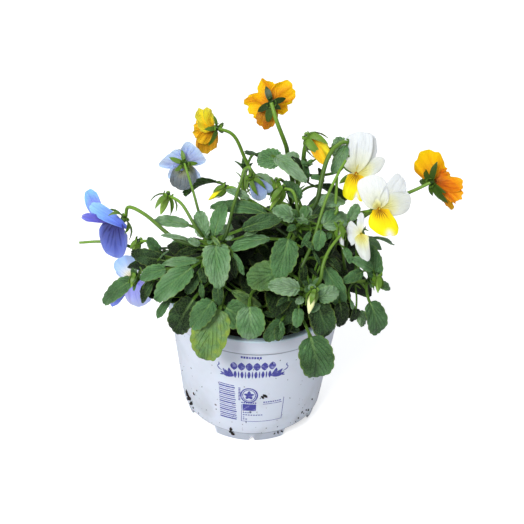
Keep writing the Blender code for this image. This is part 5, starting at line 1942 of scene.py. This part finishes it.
    def build(self) -> None:
        """Make every leaf."""
        self.build_main()
        self.build_small()
        self.build_hidden()


@dataclass(frozen=True)
class Blooms:
    """Flowers: fan-shaped petals on a throat, held by a calyx on a hooked stalk.

    A petal's fan opens up to widest degrees near the throat. cup is how far its middle
    stands off, as a share of its length, and layer_gap how far one petal lies from the next.
    """

    rows: int = 16
    columns: int = 31
    thickness: float = 0.3
    widest: float = 84.0
    cup: float = 0.28
    layer_gap: float = 0.6
    notch_place: float = -0.25
    throat: float = 1.6

    def paint(self, petal: Petal, u: Array, v: Array, fold_shade: Array) -> Array:
        """Linear colour and whisker strength over a petal's grid, with painted shade in the valleys of its
        waves.
        """
        stops = np.array([linear(stop) for stop in petal.hue.value])
        colour = np.stack([np.interp(v, STOPS, stops[:, i]) for i in range(3)], axis=-1)
        # Painted shade: the colour is darkened in the valleys of the petal's waves, most in green and blue.
        colour = colour * (1 - fold_shade[..., None] * np.array([0.3, 0.6, 0.7]))
        if petal.notch:
            gap = np.exp(-((u - self.notch_place) / 0.1) ** 2) * ease(v, 0.7, 0.95)
            colour = blend(colour, np.array(linear(NOTCH_WHITE)), gap[..., None])
        hair = WHISKERS.get(petal.hue, 0.0) * ease(v, 0.46, 0.16)
        return np.concatenate([colour, np.broadcast_to(hair, v.shape)[..., None]], axis=-1)

    def rim(self, petal: Petal, u: Array, ruffle: float, random: Draws) -> Array:
        """Reach of a petal across its fan: its outline smoothed, small waves and the notch."""
        knots = np.linspace(-1, 1, len(petal.rim))
        rim = np.mean([np.interp(u + step, knots, petal.rim) for step in (-0.13, 0, 0.13)], 0)
        for waves, depth in ((3.3, 0.02), (6.3, 0.010)):
            phase = random.uniform(0, 6.3)
            rim = rim + depth * (0.15 + ruffle) * np.sin(waves * math.pi * u + phase)
        return rim - petal.notch * np.exp(-((u - self.notch_place) / 0.13) ** 2)

    def waves(self, u: Array, v: Array, random: Draws) -> Array:
        """Waves across a petal: a broad one, a middling one and a narrow one."""
        wave = np.zeros_like(u)
        for waves, depth in ((1.3, 0.9), (2.9, 0.6), (5.7, 0.3)):
            phase = random.uniform(0, 6.3)
            wave = wave + depth * np.sin(waves * math.pi * u + phase + 0.8 * v)
        return wave

    def add_petal(self, skin: Skin, petal: Petal, flower: Flower, layer: int,
                  random: Draws) -> None:
        """Add one petal to a flower's skin.

        Args:
            skin: the skin that takes it.
            petal: the petal.
            flower: its flower, which gives the throat and the waves.
            layer: its place in the stack, which keeps petals apart.
            random: draws for its own waves.
        """
        reach = vector(petal.tip)
        length = float(np.linalg.norm(reach))
        along = unit(reach)
        side, normal = frame_across(along, vector(petal.faces))
        u, v = np.meshgrid(np.linspace(-1, 1, self.columns),
                           np.linspace(0.03, 1, self.rows) ** 0.9)
        rim = self.rim(petal, u, flower.ruffle, random)
        bulge = min(1.4 * petal.spread, max(self.widest - petal.spread, 0)) * (1 - v)
        angle = u * np.radians(petal.spread + bulge)
        radius = length * v * (1 + (rim - 1) * ease(v, 0.0, 0.75))
        wave = self.waves(u, v, random)
        loose = 0.01 + 0.03 * min(flower.ruffle, 1.0)
        lift = length * (self.cup * v * (1 - v) + loose * u ** 2 * v)
        lift = lift + flower.ruffle * wave * v ** 2
        lift = lift + random.normal(0, loose) * length * v ** 2
        lift = lift + self.layer_gap * layer * ease(v, 0.0, 0.3)
        spot = along * np.cos(angle)[..., None] + side * np.sin(angle)[..., None]
        root = vector(flower.centre) + vector(petal.root)
        middle = root + spot * radius[..., None] + normal * lift[..., None]
        half = self.thickness / 2 * np.sqrt(1 - np.abs(u) ** 10) * blend(1.0, 0.5, ease(v, 0.8, 1))
        # Painted shade in the wave valleys, growing from the throat to the petal's middle.
        fold_shade = flower.crease * ease(-wave, -0.2, 1.3) * ease(v, 0.05, 0.5)
        skin.loft(middle + normal * half[..., None], middle - normal * half[..., None],
                  np.stack([0.5 + 0.5 * u, v], axis=-1), self.paint(petal, u, v, fold_shade),
                  pick=random.uniform(0, 50), along=v, veins=VEINS.get(petal.hue, USUAL_VEINS))

    def add_throat(self, skin: Skin, centre: Array, faces: Array, hue: Hue) -> None:
        """Add the throat's collar, in the lip's inmost colour, and the knob in it."""
        share = np.linspace(0, 1, 6)
        spine = centre + faces * np.array([-1.6, -1.0, -0.3, 0.3, 0.55, 0.4])[:, None]
        radii = self.throat * np.array([0.45, 0.8, 1.0, 0.95, 0.7, 0.3])
        helper = unit(np.cross(faces, [0.3, 0.2, 1.0]))
        direction = np.broadcast_to(faces, spine.shape)
        collar = np.array([*linear(hue.value[0]), 0.0])
        skin.tube(spine, direction, radii, helper, collar, 7, pick=1.0, veins=0.2)
        spine = centre + faces * (0.3 + 1.1 * share)[:, None]
        radii = 0.55 * np.sqrt(np.clip(1.02 - (share * 2 - 1) ** 2, 0.02, 1))
        green = np.array([*linear(KNOB_GREEN), 0.0])
        skin.tube(spine, direction, radii, helper, green, 5, pick=2.0, veins=0.0)

    def add_calyx(self, skin: Skin, seat: Array, faces: Array,
                  sepals: tuple[tuple[float, float], ...], flare: float, shade: float,
                  random: Draws, broad: float = 1.0) -> None:
        """Add sepals with their back lobes and the cup between them.

        Args:
            skin: the skin that takes them.
            seat: where the cup meets the petals.
            faces: the flower's facing.
            sepals: turn in degrees and length of each sepal.
            flare: how far sepals lean outwards, 1 for flat, towards 0 for closed.
            shade: how dark they are.
            random: draws for small differences.
            broad: how broad they are, 1 for the usual shape.
        """
        side, normal = frame_across(faces, np.array([0.05, -0.3, 1.0]))
        share = np.array([-3.4, -2.6, -1.7, -0.8, 0.1])
        spine = seat + faces * share[:, None]
        radii = np.array([1.0, 1.5, 2.0, 2.1, 1.5])
        skin.tube(spine, np.broadcast_to(faces, spine.shape), radii, normal, columns=7,
                  blade=1.0, shade=shade)
        for turn, length in sepals:
            angle = math.radians(turn)
            out = side * math.cos(angle) + normal * math.sin(angle)
            lean = unit(out * flare + faces * (1.05 - flare) + faces * 0.12)
            base = seat - faces * 1.5 + out * 1.3
            tone = shade * random.uniform(0.75, 1.1)
            width = (1.2 + length * 0.18) * (1 + 0.4 * shade) * broad
            add_blade(skin, SEPAL, base, base + lean * length, width,
                      unit(out * (1.1 - flare) - faces), random,
                      arch=0.08 if flare > 0.8 else 0.2, shade=tone)
            back = base - faces * 0.6
            add_blade(skin, LOBE, back + lean * 1.2, back - faces * 1.6 + out * 1.6, 2.6,
                      unit(out * 0.6 - faces), random, arch=0.02, shade=tone * 0.6)

    def build_flower(self, name: str, flower: Flower) -> None:
        """Make one flower: its corolla and its calyx."""
        random = draws(name)
        centre = vector(flower.centre)
        faces = unit(vector(flower.faces))
        corolla = Skin()
        for layer, petal in enumerate(flower.petals):
            self.add_petal(corolla, petal, flower, layer, random)
        self.add_throat(corolla, centre, faces, flower.petals[-1].hue)
        add_piece(f"bloom_{name}", corolla.mesh(name), PETAL, flower.slot, f"corolla_{name}")
        calyx = Skin()
        self.add_calyx(calyx, centre - faces * 1.3, faces, flower.sepals, flower.flare,
                       flower.shade, random, flower.broad)
        add_piece(f"calyx_{name}", calyx.mesh(name), STALK, "stalk", f"stalk_{name}")

    def build_bud(self, name: str, bud: Bud, *nodes: str) -> None:
        """Make one bud: its scales and, where it shows colour, the furled petals."""
        random = draws(name)
        head = vector(bud.stalk[-1])
        tip = vector(bud.tip)
        faces = unit(tip - head)
        length = float(np.linalg.norm(tip - head))
        scales = Skin()
        flare = 0.55 if bud.open_calyx else 0.14
        size = length * (0.85 if bud.open_calyx else 0.58 if bud.hue else 0.72)
        sepals = tuple((23 + 72 * index, size * random.uniform(0.9, 1.1)) for index in range(5))
        self.add_calyx(scales, head + faces * 2.0, faces, sepals, flare, 0.3, random)
        add_piece(f"scales_{name}", scales.mesh(name), STALK, "bud", *nodes)
        furled = Skin()
        share = np.linspace(0, 1, 12)
        bend = unit(np.cross(faces, [0.2, 1, 0.1])) * length * 0.05
        spine = head + faces * (length * share)[:, None] + bend * (share ** 2)[:, None]
        swell = np.sin(math.pi * (0.12 + 0.84 * share)) ** 0.8
        radii = bud.radius * 0.8 * swell * blend(1.0, 0.7, share)
        side = unit(np.cross(faces, [0.3, 0.2, 1.0]))
        hue = bud.hue or Hue.YELLOW
        green = np.array(linear(BUD_GREEN))
        outer = np.array(linear(hue.value[2])) if bud.hue else green * 1.3
        tint = blend(green, outer, ease(share, 0.2, 0.5)[:, None])
        paint = np.concatenate([tint, np.zeros((12, 1))], axis=1)[:, None]
        furled.tube(spine, np.broadcast_to(faces, spine.shape), radii, side, paint, 7,
                    pick=random.uniform(0, 9), veins=0.2)
        add_piece(f"furled_{name}", furled.mesh(name), PETAL,
                  "petal_white" if bud.hue in (Hue.WHITE, Hue.IVORY) else "petal_yellow")

    def build_stalks(self) -> None:
        """All flower and bud stalks, and the bare ones, as one piece."""
        routes = []
        for flower in FLOWERS.values():
            start = on_curve(STEMS[flower.stem], np.array([flower.at]))[0][0]
            seat = np.array(flower.centre) - unit(vector(flower.faces)) * 4.2
            routes.append(((tuple(start), *flower.stalk, tuple(seat)),
                           flower.thick * 1.15, flower.thick * 0.9))
        for bud in (*BUDS.values(), *SIDE_BUDS.values()):
            start = on_curve(STEMS[bud.stem], np.array([bud.at]))[0][0]
            routes.append(((tuple(start), *bud.stalk), 1.1, 0.85))
        for stem, share, route in SPARE_STALKS:
            start = on_curve(STEMS[stem], np.array([share]))[0][0]
            routes.append(((tuple(start), *route), 1.2, 0.8))
        add_piece("flower_stalks", tube_mesh("flower_stalks", routes, STALK), STALK, "stalk")

    def build(self) -> None:
        """Make every flower, bud and stalk."""
        for name, flower in FLOWERS.items():
            self.build_flower(name, flower)
        for name, bud in BUDS.items():
            self.build_bud(name, bud, f"bud_{name}")
        for name, bud in SIDE_BUDS.items():
            self.build_bud(name, bud)
        self.build_stalks()


@dataclass(frozen=True)
class Studio:
    """Plain pale floor, soft light and the camera."""

    distance: float = 600.0
    look_down: float = 39.7
    target_height: float = 50.0
    pitch: float = 34.2
    yaw: float = 0.46
    roll: float = 2.58
    lens: float = 57.16

    def build_camera(self) -> None:
        """The camera, in front of the pot and above it."""
        lens = bpy.data.cameras.new("camera")
        lens.lens = self.lens
        lens.sensor_width = 36.0
        lens.clip_start = 0.02
        lens.clip_end = 20.0
        camera = placed("camera", lens)
        down, pitch, yaw, roll = (math.radians(a) for a in (self.look_down, self.pitch,
                                                            self.yaw, self.roll))
        place = Vector((0, -self.distance * math.cos(down),
                        self.target_height + self.distance * math.sin(down))) * MM
        ahead = Vector((math.sin(yaw) * math.cos(pitch), math.cos(yaw) * math.cos(pitch),
                        -math.sin(pitch)))
        right = ahead.cross(Vector((0, 0, 1))).normalized()
        up = right.cross(ahead)
        rolled = (right * math.cos(roll) + up * math.sin(roll),
                  up * math.cos(roll) - right * math.sin(roll))
        camera.matrix_world = Matrix.Translation(place) @ Matrix(
            (*rolled, -ahead)).transposed().to_4x4()
        bpy.context.scene.camera = camera

    def build_floor(self) -> None:
        """A wide floor that isn't part of the object."""
        bm = bmesh.new()
        bmesh.ops.create_circle(bm, cap_ends=True, segments=96, radius=6.0)
        floor = placed("floor", mesh_from(bm, "floor"))
        floor.data.materials.append(FLOOR.material())
        floor.location.z = -0.3 * MM

    def build_light(self) -> None:
        """Soft key light from the upper left, and an even white surround."""
        world = bpy.data.worlds.new("studio")
        world.use_nodes = True
        surround = world.node_tree.nodes["Background"]
        surround.inputs["Color"].default_value = (0.93, 0.97, 1.0, 1.0)
        surround.inputs["Strength"].default_value = 0.42
        bpy.context.scene.world = world
        for name, place, size, power in (("key", (-0.6, -1.05, 1.25), 0.6, 26.0),
                                         ("back", (0.3, 1.0, 1.5), 0.9, 9.0)):
            light = bpy.data.lights.new(name, "AREA")
            light.size = size
            light.energy = power
            lamp = placed(name, light)
            lamp.location = place
            aim = Vector((0, 0, 0.12)) - Vector(place)
            lamp.rotation_euler = aim.to_track_quat("-Z", "Y").to_euler()
        bpy.context.scene.view_settings.view_transform = "Standard"

    def build(self) -> None:
        """Set the stage."""
        self.build_camera()
        self.build_floor()
        self.build_light()


def main() -> None:
    """Build every part in order."""
    logging.basicConfig(level=logging.INFO, format="%(name)s %(message)s")
    pot = Pot()
    Studio().build()
    for part in (pot, Marks(pot), Grit(pot), Soil(pot), Shoots(), Foliage(), Blooms()):
        part.build()
        LOG.info("built %s", type(part).__name__)


if __name__ == "__main__":
    main()
